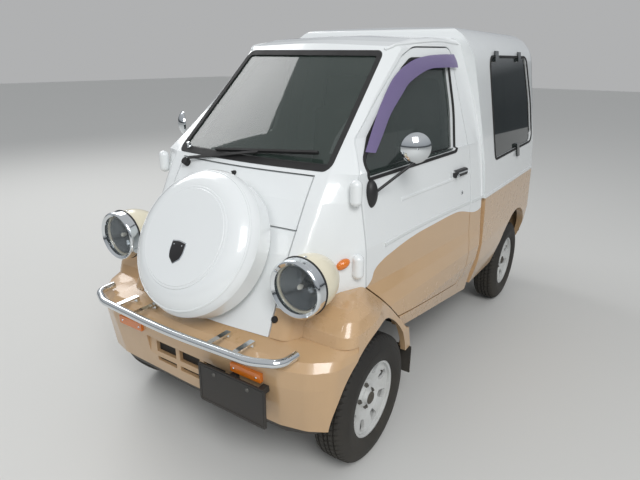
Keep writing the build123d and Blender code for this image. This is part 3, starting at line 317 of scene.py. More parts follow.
for island in islands:
    part_mesh = bpy.data.meshes.new("seat_part")
    part = whole.copy()
    part.verts.ensure_lookup_table()
    bmesh.ops.delete(part, geom=[v for v in part.verts if v.index not in island], context="VERTS")
    high = max(v.co.z for v in part.verts)
    part.to_mesh(part_mesh)
    part.free()
    is_back = high > BACKREST_ABOVE
    name = "seat_back_pad" if is_back else "seat_base_pad"
    pad = bpy.data.objects.new(name, part_mesh)
    scene.collection.objects.link(pad)
    remesh = pad.modifiers.new("remesh", "REMESH")
    remesh.mode = "VOXEL"
    remesh.voxel_size = VOXEL
    relax = pad.modifiers.new("relax", "SMOOTH")
    relax.iterations = 4
    graph = bpy.context.evaluated_depsgraph_get()
    foam = bpy.data.meshes.new_from_object(pad.evaluated_get(graph))
    pad.modifiers.clear()
    pad.data = foam
    start = [v.co.copy() for v in foam.vertices]
    cloth = pad.modifiers.new("cloth", "CLOTH")
    cloth.settings.use_pressure = True
    cloth.settings.uniform_pressure_force = 4
    cloth.settings.effector_weights.gravity = 0
    for step in range(1, PUFF_FRAMES + 1):
        scene.frame_set(step)
    puffed = bpy.data.meshes.new_from_object(pad.evaluated_get(bpy.context.evaluated_depsgraph_get()))
    pad.modifiers.clear()
    scene.frame_set(1)
    for vertex, rest in zip(puffed.vertices, start):
        move = vertex.co - rest
        vertex.co = rest + move * min(1, PUFF_CAP / max(move.length, 1e-9))
    pad.data = puffed
    middle_x = sum(v.co.x for v in pad.data.vertices) / len(pad.data.vertices)
    for vertex in pad.data.vertices:
        for channel in CHANNELS:
            close = math.exp(-((vertex.co.x - middle_x - channel) / CHANNEL_WIDTH) ** 2)
            if is_back and vertex.normal.y < -0.5:
                vertex.co.y += CHANNEL_DEPTH * close
            if not is_back and vertex.normal.z > 0.5:
                vertex.co.z -= CHANNEL_DEPTH * close
    finer = pad.modifiers.new("finer", "SUBSURF")
    finer.levels = finer.render_levels = 1
    mesh = bpy.data.meshes.new_from_object(pad.evaluated_get(bpy.context.evaluated_depsgraph_get()))
    pad.modifiers.clear()
    pad.data = mesh
    mesh.name = name
    mesh.materials.clear()
    mesh.materials.append(seat_cloth)
    mesh.shade_smooth()
    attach(pad, "body")
    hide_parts("seat")
whole.free()


# Glass: green-tinted panes in the cab and smoked ones in the canopy, seen through when looked at
# squarely and mirror-like along the surface, with a thin film of dust. The headlamps have clear
# fluted glass, and the small lamps ribbed amber and red lenses.
def glass(name, code, clear, edge, flute=0.0):
    """A thin pane: clear and edge are how much of it covers what is behind, seen squarely and along it."""
    made, tree = empty_material(name)
    place = add(tree, "ShaderNodeTexCoord").outputs["Object"]
    film = add(tree, "ShaderNodeTexNoise",
               {"Vector": place, "Scale": 6.0, "Detail": 6.0, "Roughness": 0.65}).outputs[0]
    slant = add(tree, "ShaderNodeLayerWeight", {"Blend": 0.35}).outputs["Facing"]
    cover = add(tree, "ShaderNodeMapRange", {"Value": slant, 3: clear, 4: edge}).outputs[0]
    dusty = add(tree, "ShaderNodeMapRange", {"Value": film, 1: 0.45, 2: 0.85, 3: 0.0, 4: 0.03}).outputs[0]
    total = add(tree, "ShaderNodeMath", {0: cover, 1: dusty}, operation="ADD", use_clamp=True).outputs[0]
    tint = add(tree, "ShaderNodeMix", {0: dusty, 6: linear(code), 7: linear("A9AAA2")},
               data_type="RGBA").outputs[2]
    gloss = add(tree, "ShaderNodeMapRange", {"Value": film, 3: 0.03, 4: 0.05}).outputs[0]
    inputs = {"Base Color": tint, "Roughness": gloss, "Alpha": total, "Coat Weight": 1.0,
              "Coat Roughness": 0.02}
    if flute:
        wave = add(tree, "ShaderNodeTexWave", {"Vector": place, "Scale": flute},
                   bands_direction="X").outputs[1]
        inputs["Normal"] = add(tree, "ShaderNodeBump",
                               {"Height": wave, "Strength": 0.5, "Distance": 0.002}).outputs[0]
    shade = add(tree, "ShaderNodeBsdfPrincipled", inputs)
    add(tree, "ShaderNodeOutputMaterial", {"Surface": shade.outputs["BSDF"]})
    return made


dress(glass("pale_green_windscreen", "38443F", 0.5, 0.8), "windscreen")
dress(glass("green_tinted_glass", "2C3834", 0.5, 0.85), "door_left_pane", "door_right_pane", "rear_window")
dress(glass("smoked_glass", "1B2322", 0.78, 0.96), "canopy_windows", "hatch_pane")
dress(glass("fluted_lamp_glass", "8E9598", 0.05, 0.4, flute=45), "headlamp_lenses")
amber = surface("amber_lens", "E8811C", "DB6F12", 0.16, coat=1.0, peel=0.8, weave=70, dust=0.15, cloud=8)
red = surface("red_lens", "A5161A", "8C1013", 0.16, coat=1.0, peel=0.8, weave=70, dust=0.15, cloud=8)
dress(amber, "turn_lamps")
dress(red, "tail_lamps")


# Tyres: black rubber, each one revolved from its half profile, with four grooves round the tread,
# cross slots that leave blocks, and a shallow step on the sidewall. They stand for the CAD tyres.
def at(x, y, z):
    """A place in the car's own millimetres (y from the front axle) as a point of the scene."""
    return Vector((x, y - FRONT_AXLE, z)) / 1000


def put(name, vertices, faces, material, body, smooth=True):
    """Makes a mesh piece of its vertices and faces, dresses it and lets it ride on a body."""
    mesh = bpy.data.meshes.new(name)
    mesh.from_pydata([tuple(v) for v in vertices], [], faces)
    loose = bmesh.new()
    loose.from_mesh(mesh)
    bmesh.ops.remove_doubles(loose, verts=loose.verts, dist=1e-6)
    bmesh.ops.recalc_face_normals(loose, faces=loose.faces)
    loose.to_mesh(mesh)
    loose.free()
    mesh.materials.append(material)
    if smooth:
        mesh.shade_smooth()
        mesh.set_sharp_from_angle(angle=math.radians(38))
    made = bpy.data.objects.new(name, mesh)
    scene.collection.objects.link(made)
    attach(made, body)
    return made


tyre_rubber = surface("tyre_rubber", "121213", "1A1A1A", 0.66, peel=0.2, peel_scale=600, dust=0.22,
                      cloud=12)
TYRE = (
    (-62, 158), (-68, 168), (-72, 184), (-73, 200), (-72, 216), (-70, 218.5), (-70, 222), (-69, 224),
    (-65, 238), (-58, 250), (-52, 257), (-44, 260.5), (-38, 261.2), (-37, 261.3), (-36, 255), (-31, 255),
    (-30, 261.8), (-20, 262.3), (-13, 262.6), (-12, 256), (-7, 256), (-6, 262.8), (0, 263),
)
profile = list(TYRE) + [(-x, r) for x, r in reversed(TYRE[:-1])]
WHEELS = (("front", 555, 0), ("rear", 552.5, 1840))
WHEEL_RADIUS = 263
PITCHES = 64
PER_PITCH = 10
SLOT_WIDTH = 1.6
SLOT_DEPTH = 4.5
SLOT_FROM = 253
SLOT_FLOOR = 252
SLOT_SLANT = 0.16
CENTRE_BAND = 12
CENTRE_SLANT = 0.3
GROOVE_WALL = (35.5, 37.2)
TREAD_EDGE = 60
for end, x_mid, y_mid in WHEELS:
    for side, sign in (("left", 1), ("right", -1)):
        points, faces = [], []
        turns = PITCHES * PER_PITCH
        for k in range(turns):
            angle = 2 * math.pi * k / turns
            for x, r in profile:
                slant = k + (abs(x) * SLOT_SLANT if abs(x) > CENTRE_BAND else x * CENTRE_SLANT)
                slot = (slant % PER_PITCH) < SLOT_WIDTH and not GROOVE_WALL[0] < abs(x) < GROOVE_WALL[1]
                deep = SLOT_DEPTH if slot and r > SLOT_FROM else 0
                deep = 0 if abs(x) > TREAD_EDGE else min(deep, max(r - SLOT_FLOOR, 0))
                reach = r - deep
                y, z = y_mid + reach * math.cos(angle), WHEEL_RADIUS + reach * math.sin(angle)
                points.append(at(sign * x_mid + x, y, z))
        n = len(profile)
        for k in range(turns):
            for j in range(n - 1):
                a, b = k * n + j, ((k + 1) % turns) * n + j
                faces.append((a, a + 1, b + 1, b))
            a, b = k * n, ((k + 1) % turns) * n
            faces.append((a, b, b + n - 1, a + n - 1))
        tyre = put(f"tread_tyre_{end}_{side}", points, faces, tyre_rubber, f"wheel_{end}_{side}")
        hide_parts(f"tyre_{end}_{side}")


# Rims: pressed steel in silver-white paint, each with four steel nuts, a black hub cap and a rubber
# valve. The nuts are one hexagon with a stud end, set round the wheel's middle by a node group.
def lathe(name, outline, centre, axis, material, body, steps=48):
    """Revolves (radius, distance along the axis) points, in millimetres, about an axis through a centre."""
    way = Vector(axis).normalized()
    side_way = way.orthogonal().normalized()
    up_way = way.cross(side_way)
    n = len(outline)
    points, faces = [], []
    for k in range(steps):
        angle = 2 * math.pi * k / steps
        spoke = side_way * math.cos(angle) + up_way * math.sin(angle)
        for r, h in outline:
            points.append(centre + spoke * max(r, 1e-3) / 1000 + way * h / 1000)
    for k in range(steps):
        for j in range(n - 1):
            a, b = k * n + j, ((k + 1) % steps) * n + j
            faces.append((a, a + 1, b + 1, b))
    if outline[0][0] > 0.5:
        for k in range(steps):
            a, b = k * n, ((k + 1) % steps) * n
            faces.append((a, b, b + n - 1, a + n - 1))
    return put(name, points, faces, material, body)


def skin(*names):
    """A search tree over the faces of CAD nodes, to lay pieces on them."""
    points, faces = [], []
    for name in names:
        first = len(points)
        thing = nodes[name]
        points += [thing.matrix_world @ v.co for v in thing.data.vertices]
        faces += [tuple(first + v for v in p.vertices) for p in thing.data.polygons]
    return BVHTree.FromPolygons(points, faces)


def set_round(name, shape, count, radius, centre, axis, material, body):
    """Instances a small mesh round an axis with Geometry Nodes, and keeps the result as one mesh."""
    group = bpy.data.node_groups.new(name, "GeometryNodeTree")
    group.interface.new_socket("Geometry", in_out="INPUT", socket_type="NodeSocketGeometry")
    count_in = group.interface.new_socket("Count", in_out="INPUT", socket_type="NodeSocketInt")
    radius_in = group.interface.new_socket("Radius", in_out="INPUT", socket_type="NodeSocketFloat")
    group.interface.new_socket("Geometry", in_out="OUTPUT", socket_type="NodeSocketGeometry")
    start = add(group, "NodeGroupInput")
    ring = add(group, "GeometryNodeMeshCircle",
               {"Vertices": start.outputs["Count"], "Radius": start.outputs["Radius"]})
    spread_out = add(group, "GeometryNodeInstanceOnPoints",
                     {"Points": ring.outputs[0], "Instance": start.outputs["Geometry"]})
    solid = add(group, "GeometryNodeRealizeInstances", {0: spread_out.outputs[0]})
    painted = add(group, "GeometryNodeSetMaterial", {0: solid.outputs[0], "Material": material})
    add(group, "NodeGroupOutput", {0: painted.outputs[0]})
    seed = bpy.data.objects.new(name + "_seed", shape)
    scene.collection.objects.link(seed)
    modifier = seed.modifiers.new("set_round", "NODES")
    modifier.node_group = group
    modifier[count_in.identifier] = count
    modifier[radius_in.identifier] = radius / 1000
    graph = bpy.context.evaluated_depsgraph_get()
    mesh = bpy.data.meshes.new_from_object(seed.evaluated_get(graph))
    bpy.data.objects.remove(seed)
    turned = Vector((0, 0, 1)).rotation_difference(Vector(axis)).to_matrix().to_4x4()
    mesh.transform(Matrix.Translation(centre) @ turned)
    mesh.materials.clear()
    mesh.materials.append(material)
    mesh.name = name
    made = bpy.data.objects.new(name, mesh)
    scene.collection.objects.link(made)
    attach(made, body)
    return made


rim_paint = surface("silver_white_wheel_paint", "DCDFDF", "CFD2D2", 0.34, coat=0.4, peel=0.08, dust=0.55,
                    cloud=8)
NUT_CIRCLE = 50
OUTSIDE = 900
nut_mesh = bpy.data.meshes.new("nut")
hexagon = bmesh.new()
bmesh.ops.create_cone(hexagon, cap_ends=True, segments=6, radius1=0.0095, radius2=0.0095, depth=0.012)
bmesh.ops.create_cone(hexagon, cap_ends=True, segments=16, radius1=0.0055, radius2=0.0045, depth=0.022)
hexagon.to_mesh(nut_mesh)
hexagon.free()
for end, x_mid, y_mid in WHEELS:
    for side, sign in (("left", 1), ("right", -1)):
        rim = f"rim_{end}_{side}"
        dress(rim_paint, rim)
        face = skin(rim)
        inward = Vector((-sign, 0, 0))
        hub = at(sign * x_mid, y_mid, WHEEL_RADIUS)
        hit = face.ray_cast(at(sign * OUTSIDE, y_mid + NUT_CIRCLE, WHEEL_RADIUS), inward)[0] or hub
        centre = Vector((hit.x + sign * 0.004, hub.y, hub.z))
        set_round(f"wheel_nuts_{end}_{side}", nut_mesh, 4, NUT_CIRCLE, centre, (sign, 0, 0), steel,
                  f"wheel_{end}_{side}")
        cap_hit = face.ray_cast(at(sign * OUTSIDE, y_mid, WHEEL_RADIUS), inward)[0] or hub
        base = Vector((cap_hit.x, hub.y, hub.z))
        lathe(f"hub_cap_{end}_{side}", [(0, 6), (16, 5), (24, 1), (26, -3)], base, (sign, 0, 0),
              black_metal, f"wheel_{end}_{side}")
        valve_at = Vector((hit.x + sign * 0.004, hub.y + 0.098, hub.z + 0.07))
        lathe(f"valve_{end}_{side}", [(0, 22), (3, 21.5), (3.6, 12), (4.6, 2), (7, 0)], valve_at,
              (sign, 0, 0), rubber, f"wheel_{end}_{side}", 16)

# Raised trims on the body, each laid along its own line on the panels: the pale belt moulding
# over the two-tone edge, the pressed character line through the handle, the ridge behind the door
# and the rail over it, all in body enamel.
def smooth_line(points, step=12.0):
    """A curve through points, in millimetres, as points about a step apart (Catmull-Rom)."""
    line = [Vector(p) for p in points]
    line = [line[0] * 2 - line[1]] + line + [line[-1] * 2 - line[-2]]
    out = []
    for k in range(1, len(line) - 2):
        a, b, c, d = line[k - 1:k + 3]
        count = max(2, int((c - b).length / step))
        for j in range(count):
            t = j / count
            out.append(0.5 * (2 * b + (c - a) * t + (2 * a - 5 * b + 4 * c - d) * t * t
                              + (3 * b - a - 3 * c + d) * t ** 3))
    return out + [line[-2]]


def on_side(points, sign):
    """Points given for the car's left, or their mirror image on its right."""
    return [(sign * x, y, z) for x, y, z in points]


SINK = 2.0


def lay(name, line, faces_of, toward, width, rise, material, body, closed=False):
    """Lays a rounded strip on CAD faces along a line of points, found by looking toward them."""
    look = Vector(toward).normalized()
    hits = []
    for p in line:
        q = at(*p)
        hit = faces_of.ray_cast(q - look * 0.25, look, 0.6)
        if hit[0] is not None:
            hits.append((hit[0], hit[1] if hit[1].dot(look) < 0 else -hit[1]))
    if len(hits) < 3:
        print("no surface for", name)
        return None
    points, faces = [], []
    section = [(-0.5, -SINK / rise), (-0.5, 0.35), (-0.36, 0.85), (0, 1), (0.36, 0.85), (0.5, 0.35),
               (0.5, -SINK / rise)]
    n, m = len(section), len(hits)
    for k, (p, normal) in enumerate(hits):
        before = hits[(k - 1) % m if closed else max(k - 1, 0)][0]
        after = hits[(k + 1) % m if closed else min(k + 1, m - 1)][0]
        along = (after - before).normalized()
        across_way = normal.cross(along).normalized()
        for u, v in section:
            points.append(p + across_way * u * width / 1000 + normal * v * rise / 1000)
    for k in range(m if closed else m - 1):
        for j in range(n):
            a, b = k * n + j, ((k + 1) % m) * n + j
            faces.append((a, k * n + (j + 1) % n, ((k + 1) % m) * n + (j + 1) % n, b))
    if not closed:
        faces.append(tuple(range(n)))
        faces.append(tuple(range((m - 1) * n, m * n)))
    return put(name, points, faces, material, body)


BELT = ((570, 161, 855), (590, 320, 864), (600, 482, 868), (606, 694, 870), (622, 950, 866))
BELT_REAR = ((622, 972, 865), (630, 1050, 864), (632, 1112, 862))
RIDGE = ((543, 299, 1008), (566, 500, 1010), (581, 732, 1011), (597, 948, 1016))
PILLAR = ((500, 1040, 1520), (530, 1055, 1415), (577, 1078, 1221), (608, 1092, 1053), (625, 1100, 870))
RAIL = ((372, 330, 1612), (388, 420, 1622), (420, 620, 1630), (444, 820, 1630), (470, 985, 1616))
panel_white = surface("white_trim_enamel", "E3E7E6", "DCE0E0", 0.3, coat=0.6, peel=0.04, dust=0.1)
shell_skin = skin("cab_shell")
for side, sign in (("left", 1), ("right", -1)):
    door_skin = skin(f"door_{side}")
    inward = (-sign, 0, 0)
    lay(f"belt_moulding_{side}", smooth_line(on_side(BELT, sign)), door_skin, inward, 17, 5, panel_white,
        f"door_{side}")
    lay(f"belt_moulding_rear_{side}", smooth_line(on_side(BELT_REAR, sign)), shell_skin, inward, 17, 5,
        panel_white, "body")
    lay(f"character_line_{side}", smooth_line(on_side(RIDGE, sign)), door_skin, inward, 15, 3, two_tone,
        f"door_{side}")
    lay(f"pillar_ridge_{side}", smooth_line(on_side(PILLAR, sign)), shell_skin, inward, 13, 6, two_tone,
        "body")
    lay(f"roof_rail_{side}", smooth_line(on_side(RAIL, sign)), shell_skin, (-sign * 0.6, 0, -0.8), 12, 8,
        two_tone, "body")


# Window rubbers: a black rubber bead round each door window, pressed on the door's skin.
def rounded(corners, radii, step=9.0):
    """A closed outline with its corners rounded, as (u, v) points about a step apart."""
    out = []
    count = len(corners)
    for k in range(count):
        p = Vector(corners[k])
        to_last = Vector(corners[k - 1]) - p
        to_next = Vector(corners[(k + 1) % count]) - p
        half = to_last.angle(to_next) / 2
        reach = min(radii[k] / math.tan(half), to_last.length * 0.48, to_next.length * 0.48)
        a, b = p + to_last.normalized() * reach, p + to_next.normalized() * reach
        for j in range(9):
            t = j / 8
            out.append(a * (1 - t) ** 2 + p * 2 * t * (1 - t) + b * t * t)
    dense = []
    for k, p in enumerate(out):
        q = out[(k + 1) % len(out)]
        parts = max(1, int((q - p).length / step))
        dense += [p.lerp(q, j / parts) for j in range(parts)]
    return dense


def widened(loop, amount):
    """A loop moved outward by an amount."""
    middle = sum(loop, Vector((0, 0))) / len(loop)
    out = []
    for k, p in enumerate(loop):
        along = loop[(k + 1) % len(loop)] - loop[k - 1]
        side_way = Vector((along.y, -along.x)).normalized()
        if side_way.dot(p - middle) < 0:
            side_way = -side_way
        out.append(p + side_way * amount)
    return out


DOOR_WINDOW = ((88, 1128), (92, 1180), (335, 1367), (500, 1500), (570, 1538), (864, 1542), (856, 1331),
               (812, 1140))
DOOR_WINDOW_RADII = (8, 60, 900, 60, 60, 26, 600, 20)
for side, sign in (("left", 1), ("right", -1)):
    loop = widened(rounded(DOOR_WINDOW, DOOR_WINDOW_RADII), 5)
    line = [(sign * 500, p.x, p.y) for p in loop]
    lay(f"door_window_rubber_{side}", line, skin(f"door_{side}"), (-sign, 0, 0), 13, 5, rubber,
        f"door_{side}", closed=True)

# Rain visors: tinted purple acrylic over the door windows, a bent strip that stands off the frame
# by a finger's width and follows the window's upper edge.
VISOR_STEPS = 60
VISOR_ROWS = 7
VISOR_SHEET = 2.5
VISOR_STAND = 5
VISOR_BULGE = 11
visor_tint = glass("purple_acrylic_visor", "7F70A0", 0.6, 0.9)
OUTER = ((461, 123, 1215), (440, 215, 1298), (417, 316, 1377), (411, 433, 1476), (420, 560, 1533),
         (433, 679, 1555), (452, 800, 1563), (470, 919, 1565))
INNER = ((470, 165, 1208), (454, 250, 1268), (436, 342, 1335), (431, 450, 1408), (431, 521, 1453),
         (444, 664, 1499), (462, 790, 1507), (485, 921, 1506))
for side, sign in (("left", 1), ("right", -1)):
    upper = smooth_line(on_side(OUTER, sign), 20)
    lower_edge = smooth_line(on_side(INNER, sign), 20)
    points, faces = [], []
    for k in range(VISOR_STEPS):
        a = upper[round(k * (len(upper) - 1) / (VISOR_STEPS - 1))]
        b = lower_edge[round(k * (len(lower_edge) - 1) / (VISOR_STEPS - 1))]
        for j in range(VISOR_ROWS):
            t = j / (VISOR_ROWS - 1)
            p = a.lerp(b, t)
            stand = VISOR_STAND + VISOR_BULGE * math.sin(t * math.pi * 0.6)
            for thick in (0, VISOR_SHEET):
                points.append(at(sign * (abs(p.x) + thick + stand), p.y, p.z))
    for k in range(VISOR_STEPS - 1):
        first, following = k * VISOR_ROWS * 2, (k + 1) * VISOR_ROWS * 2
        for j in range(VISOR_ROWS - 1):
            a, b = first + j * 2, following + j * 2
            faces += [(a, a + 2, b + 2, b), (a + 1, b + 1, b + 3, a + 3)]
        for rim_row in (0, VISOR_ROWS * 2 - 2):
            a, b = first + rim_row, following + rim_row
            faces.append((a, b, b + 1, a + 1))
    put(f"rain_visor_{side}", points, faces, visor_tint, f"door_{side}")

# Headlamps: behind each domed lens a silvered bowl with a bulb in a dark holder, a black gasket
# between ring and pod, and the ring's clamp screw on top of the pod.
bowl_silver = surface("silvered_reflector", "6F7578", "55595C", 0.12, metal=1.0, peel=0.05, weave=80,
                      cloud=20)
bulb_glass = glass("bulb_glass", "F2F0E4", 0.6, 0.95)
LAMP = (468, 821)
LAMP_BACK = -300
pod_skin = skin("headlamp_pods")
for side, sign in (("left", 1), ("right", -1)):
    centre = at(sign * LAMP[0], LAMP_BACK, LAMP[1])
    lathe(f"reflector_{side}", [(79, 1), (76, -6), (66, -20), (50, -31), (30, -38), (10, -41), (0, -41.5)],
          centre, (0, -1, 0), bowl_silver, "body")
    lathe(f"bulb_holder_{side}", [(0, -20), (11, -20), (12, -24), (12, -40), (0, -40)], centre, (0, -1, 0),
          black_metal, "body", 24)
    lathe(f"bulb_{side}", [(0, 4), (7, 1), (10, -6), (8, -14), (6, -20), (0, -20)], centre, (0, -1, 0),
          bulb_glass, "body", 24)
    lathe(f"lamp_gasket_{side}", [(97, -25), (105.5, -23), (107, -20), (105.5, -16.5), (98, -15)],
          at(sign * LAMP[0], LAMP_BACK - 5, LAMP[1]), (0, -1, 0), rubber, "body", 72)
    hit = pod_skin.ray_cast(at(sign * LAMP[0], -262, 1100), Vector((0, 0, -1)), 0.5)
    if hit[0] is not None:
        outward = hit[1] if hit[1].z > 0 else -hit[1]
        lathe(f"lamp_screw_{side}", [(0, 3.4), (4, 3), (6, 1.5), (6.5, -1)], hit[0], outward, chrome,
              "body", 20)

# Spare-wheel cover: raised beads round the flat disc and the shoulder, and a plain black plaque
# with a chrome edge, left blank, riveted to the disc.
cover_skin = skin("spare_cover")
COVER_TILT = 31
tilt = math.radians(COVER_TILT)
disc = at(0, -371, 930)
out_way = Vector((0, -math.cos(tilt), math.sin(tilt)))
up_way = Vector((0, math.sin(tilt), math.cos(tilt)))
for name, radius, width, rise in (("cover_inner_bead", 190, 11, 4), ("cover_outer_bead", 268, 9, 3)):
    points = []
    for k in range(96):
        angle = 2 * math.pi * k / 96
        level_part = Vector((math.cos(angle), 0, 0)) * radius / 1000
        p = disc + level_part + up_way * math.sin(angle) * radius / 1000
        points.append((p.x * 1000, p.y * 1000 + FRONT_AXLE, p.z * 1000))
    lay(name, points, cover_skin, -out_way, width, rise, white, "body", closed=True)


def plaque(name, outline, thick, centre, right_way, upper_way, material, body, lift=0.0):
    """A flat plate of an outline (u, v) in millimetres, standing on a surface."""
    normal = right_way.cross(upper_way).normalized()
    if normal.dot(camera.matrix_world.translation - centre) < 0:
        normal = -normal
    n = len(outline)
    points = []
    for h, shrink in ((lift - 1, 1.0), (lift + thick * 0.6, 1.0), (lift + thick, 0.95)):
        for u, v in outline:
            p = centre + right_way * u * shrink / 1000 + upper_way * v * shrink / 1000
            points.append(p + normal * h / 1000)
    faces = [tuple(range(n)), tuple(range(2 * n, 3 * n))]
    for level in (0, 1):
        for k in range(n):
            a, b = level * n + k, level * n + (k + 1) % n
            faces.append((a, b, b + n, a + n))
    return put(name, points, faces, material, body)


SHIELD = ((-36, 40), (0, 45), (36, 40), (36, 0), (28, -24), (0, -46), (-28, -24), (-36, 0))
shield = [tuple(p) for p in rounded(SHIELD, (6, 60, 6, 60, 20, 8, 20, 60), 6)]

# The plaque sits where the line of sight through this pixel of the photograph meets the cover.
PLAQUE_PIXEL = (176.5, 252)
right_of_middle = PLAQUE_PIXEL[0] - PHOTO_WIDTH / 2
below_middle = PLAQUE_PIXEL[1] - PHOTO_HEIGHT / 2
sight = (ahead * FOCAL_PIXELS + across_rolled * right_of_middle - upward_rolled * below_middle).normalized()
hit = cover_skin.ray_cast(camera.matrix_world.translation, sight, 6)
spot = hit[0] if hit[0] is not None else disc
plaque("blank_plaque_rim", shield, 2.5, spot, Vector((1, 0, 0)), up_way, chrome, "body")
plaque("blank_plaque", [(u * 0.9, v * 0.9) for u, v in shield], 2.0, spot, Vector((1, 0, 0)), up_way,
       black_plastic, "body", lift=2.0)
for u in (-20, 20):
    rivet_at = spot + Vector((u, 0, 0)) / 1000 + up_way * 0.026
    lathe(f"plaque_rivet_{'left' if u > 0 else 'right'}", [(0, 6.2), (2.5, 5.8), (3.2, 4.2), (3.2, 2)],
          rivet_at, out_way, chrome, "body", 16)

# Nose: rubber stops low on its corners, and on the cowl the washer nozzle, a rubber stub with a
# plated jet.
nose_skin = skin("nose_panel", "cowl_panel", "cab_shell", "windscreen_seal")
for side, sign in (("left", 1), ("right", -1)):
    hit = nose_skin.ray_cast(at(sign * 352, -700, 662), Vector((0, 1, 0)), 0.8)
    if hit[0] is not None:
        outward = hit[1] if hit[1].y < 0 else -hit[1]
        lathe(f"nose_stop_{side}", [(0, 11), (8, 10), (12, 6), (13, 0), (13, -2)], hit[0], outward,
              rubber, "body", 28)
hit = nose_skin.ray_cast(at(-14, -74, 1400), Vector((0, 0, -1)), 0.6)
if hit[0] is not None:
    outward = hit[1] if hit[1].z > 0 else -hit[1]
    lathe("washer_nozzle", [(0, 16), (4, 15), (5, 9), (9, 6), (11, 0), (11, -3)], hit[0], outward,
          rubber, "body", 24)
    lathe("washer_jet", [(0, 3), (2.2, 2.4), (2.6, 0)], hit[0] + hit[1] * 0.011 + Vector((0, 0.002, 0.002)),
          (0, 0.6, 0.8), chrome, "body", 12)

# Front bumper: behind the grille slots one thin dark panel of woven wire, and plated screws in the
# turn lamps.
BOX_FACES = ((0, 1, 2, 3), (4, 5, 6, 7), (0, 1, 5, 4), (1, 2, 6, 5), (2, 3, 7, 6), (3, 0, 4, 7))
mesh_wire = surface("woven_wire_mesh", "3A3B3C", "1C1C1D", 0.5, metal=0.6, peel=1.0, weave=140, dust=0.3)
points = [at(x, y, z) for y in (-372, -370) for x, z in ((-215, 345), (215, 345), (215, 455), (-215, 455))]
put("grille_mesh", points, BOX_FACES, mesh_wire, "body", smooth=False)
bumper_skin = skin("front_bumper", "turn_lamps")
for side, sign in (("left", 1), ("right", -1)):
    for x in (262, 366):
        hit = bumper_skin.ray_cast(at(sign * x, -700, 496), Vector((0, 1, 0)), 0.6)
        if hit[0] is not None:
            lathe(f"turn_lamp_screw_{side}_{x}", [(0, 2.5), (3, 2.2), (4.2, 0.8), (4.4, -1)], hit[0],
                  (0, -1, 0), chrome, "body", 16)

# Number plate: a plain black plate with a raised edge and two steel bolts, no characters.
plate_skin = skin("number_plate")
loop = rounded([(108, 320), (422, 320), (422, 476), (108, 476)], (10, 10, 10, 10), 10)
inner = widened(loop, -7)
lay("plate_pressed_edge", [(p.x, -440, p.y) for p in inner], plate_skin, (0, 1, 0), 5, 2, black_plastic,
    "body", closed=True)
for x in (185, 345):
    hit = plate_skin.ray_cast(at(x, -700, 452), Vector((0, 1, 0)), 0.6)
    if hit[0] is not None:
        lathe(f"plate_bolt_{x}", [(0, 4.5), (5, 4), (7, 2), (8.5, 0.6), (8.5, -0.5)], hit[0], (0, -1, 0),
              steel, "body", 24)

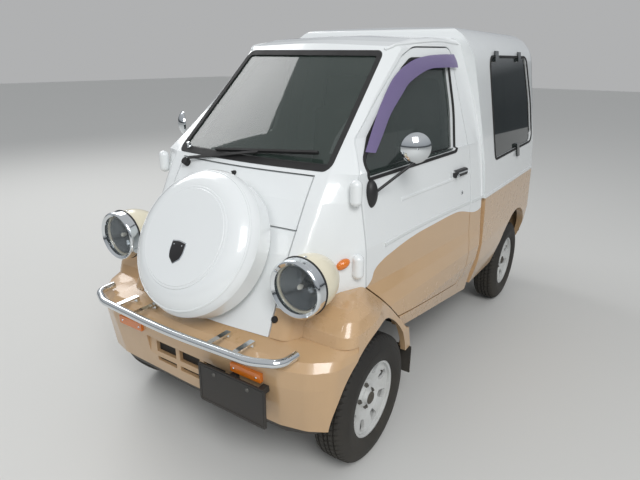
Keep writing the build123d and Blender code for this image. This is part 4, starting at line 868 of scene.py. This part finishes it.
# Doors: a bright insert and a push button in each handle and a key hole below, all plated, and
# silvered glass in the mirrors. The handle blocks, mirror rods and bases are black plastic.
MIRROR_TURN = math.radians(38)
MIRROR_HEAD_REACH = 0.0605
HANDLE_ALONG = (764, 897)
HANDLE_UP = (1014, 1054)
HANDLE_OUT = 586.5
HANDLE_OUT_AT = 830
HANDLE_TAPER = 0.03
for side, sign in (("left", 1), ("right", -1)):
    mesh = nodes[f"door_{side}"].data
    mesh.materials.append(black_plastic)
    for face in mesh.polygons:
        c = nodes[f"door_{side}"].matrix_world @ face.center
        y, z = c.y * 1000 + FRONT_AXLE, c.z * 1000
        within = HANDLE_ALONG[0] < y < HANDLE_ALONG[1] and HANDLE_UP[0] < z < HANDLE_UP[1]
        if within and abs(c.x) * 1000 > HANDLE_OUT + (y - HANDLE_OUT_AT) * HANDLE_TAPER:
            face.material_index = 1
    door_skin = skin(f"door_{side}")
    hit = door_skin.ray_cast(at(sign * OUTSIDE, 800, 1034), Vector((-sign, 0, 0)), 0.6)
    if hit[0] is not None:
        outer_x = abs(hit[0].x) * 1000
        line = [(sign * outer_x, y, 1038) for y in range(782, 882, 8)]
        lay(f"handle_insert_{side}", line, door_skin, (-sign, 0, 0), 7, 2.5, chrome, f"door_{side}")
        button = door_skin.ray_cast(at(sign * OUTSIDE, 779, 1026), Vector((-sign, 0, 0)), 0.6)
        if button[0] is not None:
            lathe(f"handle_button_{side}", [(0, 6), (7, 5.5), (9, 3.5), (9, -1)], button[0], (sign, 0, 0),
                  chrome, f"door_{side}", 28)
    lock = door_skin.ray_cast(at(sign * OUTSIDE, 861, 930), Vector((-sign, 0, 0)), 0.6)
    if lock[0] is not None:
        out = lock[1] if lock[1].x * sign > 0 else -lock[1]
        lathe(f"key_lock_{side}", [(0, 0.6), (4, 0.8), (6, 2.2), (9, 2.4), (10.5, 1.4), (11, -1)], lock[0],
              out, chrome, f"door_{side}", 28)
        # The key slot is a thin black plate on the lock's face: painted shade that stands for the dark
        # inside the keyhole.
        slit_corners = ((-0.001, -0.004), (0.001, -0.004), (0.001, 0.004), (-0.001, 0.004))
        slit = [lock[0] + Vector((0, y, z)) + out * 0.0031 for y, z in slit_corners]
        put(f"key_slot_painted_shade_{side}", slit + [p - out * 0.001 for p in slit], BOX_FACES, black_plastic,
            f"door_{side}", smooth=False)
    mesh = nodes[f"door_{side}_mirror"].data
    mesh.materials.append(black_plastic)
    head = at(sign * 624, 222, 1232)
    for face in mesh.polygons:
        c = nodes[f"door_{side}_mirror"].matrix_world @ face.center
        if (c - head).length > MIRROR_HEAD_REACH:
            face.material_index = 1
    turn_way = Vector((-sign * math.sin(MIRROR_TURN), math.cos(MIRROR_TURN), 0))
    lathe(f"mirror_glass_{side}", [(0, 10.2), (50, 10.2), (52, 9.6), (52.5, 7)], head, turn_way,
          bowl_silver, f"door_{side}", 56)

# Wiper: a plated nut holds the arm on its pivot.
hit = nose_skin.ray_cast(at(-345, -20, 1400), Vector((0, 0.1, -1)), 0.6)
if hit[0] is not None:
    lathe("wiper_pivot_nut", [(0, 20), (6, 19), (8, 14), (8, 6), (11, 3), (12, -2)], hit[0],
          (0, -0.35, 0.94), chrome, "body", 20)

# Canopy: a black rubber bead round each side window.
CANOPY_WINDOW = ((1286, 1038), (1262, 1552), (1995, 1552), (2070, 1300), (2078, 1046))
CANOPY_RADII = (30, 50, 70, 300, 70)
canopy_skin = skin("canopy")
for side, sign in (("left", 1), ("right", -1)):
    loop = widened(rounded(CANOPY_WINDOW, CANOPY_RADII), 6)
    lay(f"canopy_window_rubber_{side}", [(sign * 600, p.x, p.y) for p in loop], canopy_skin, (-sign, 0, 0),
        13, 5, rubber, "body", closed=True)

# Rear: plated pull handles on the hatch and tailgate, each with a lock below it, and a rubber bead
# round the hatch pane.
for name, z in (("hatch", 905), ("tailgate", 770)):
    back_skin = skin(name)
    hit = back_skin.ray_cast(at(0, 2600, z), Vector((0, -1, 0)), 0.8)
    if hit[0] is not None:
        y = hit[0].y * 1000 + FRONT_AXLE
        line = smooth_line([(-60, y, z), (0, y, z), (60, y, z)], 8)
        lay(f"{name}_handle", line, back_skin, (0, -1, 0), 22, 9, chrome, name)
        lathe(f"{name}_lock", [(0, 2), (5, 2.2), (8, 3.5), (11, 3), (12, -1)],
              hit[0] + Vector((0, 0, -0.035)), (0, 1, 0), chrome, name, 28)
loop = widened(rounded([(-432, 1003), (432, 1003), (370, 1499), (-370, 1499)], (40, 40, 40, 40)), 7)
lay("hatch_window_rubber", [(p.x, 2260, p.y) for p in loop], skin("hatch"), (0, -1, 0), 13, 5, rubber,
    "hatch", closed=True)

low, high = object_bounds()
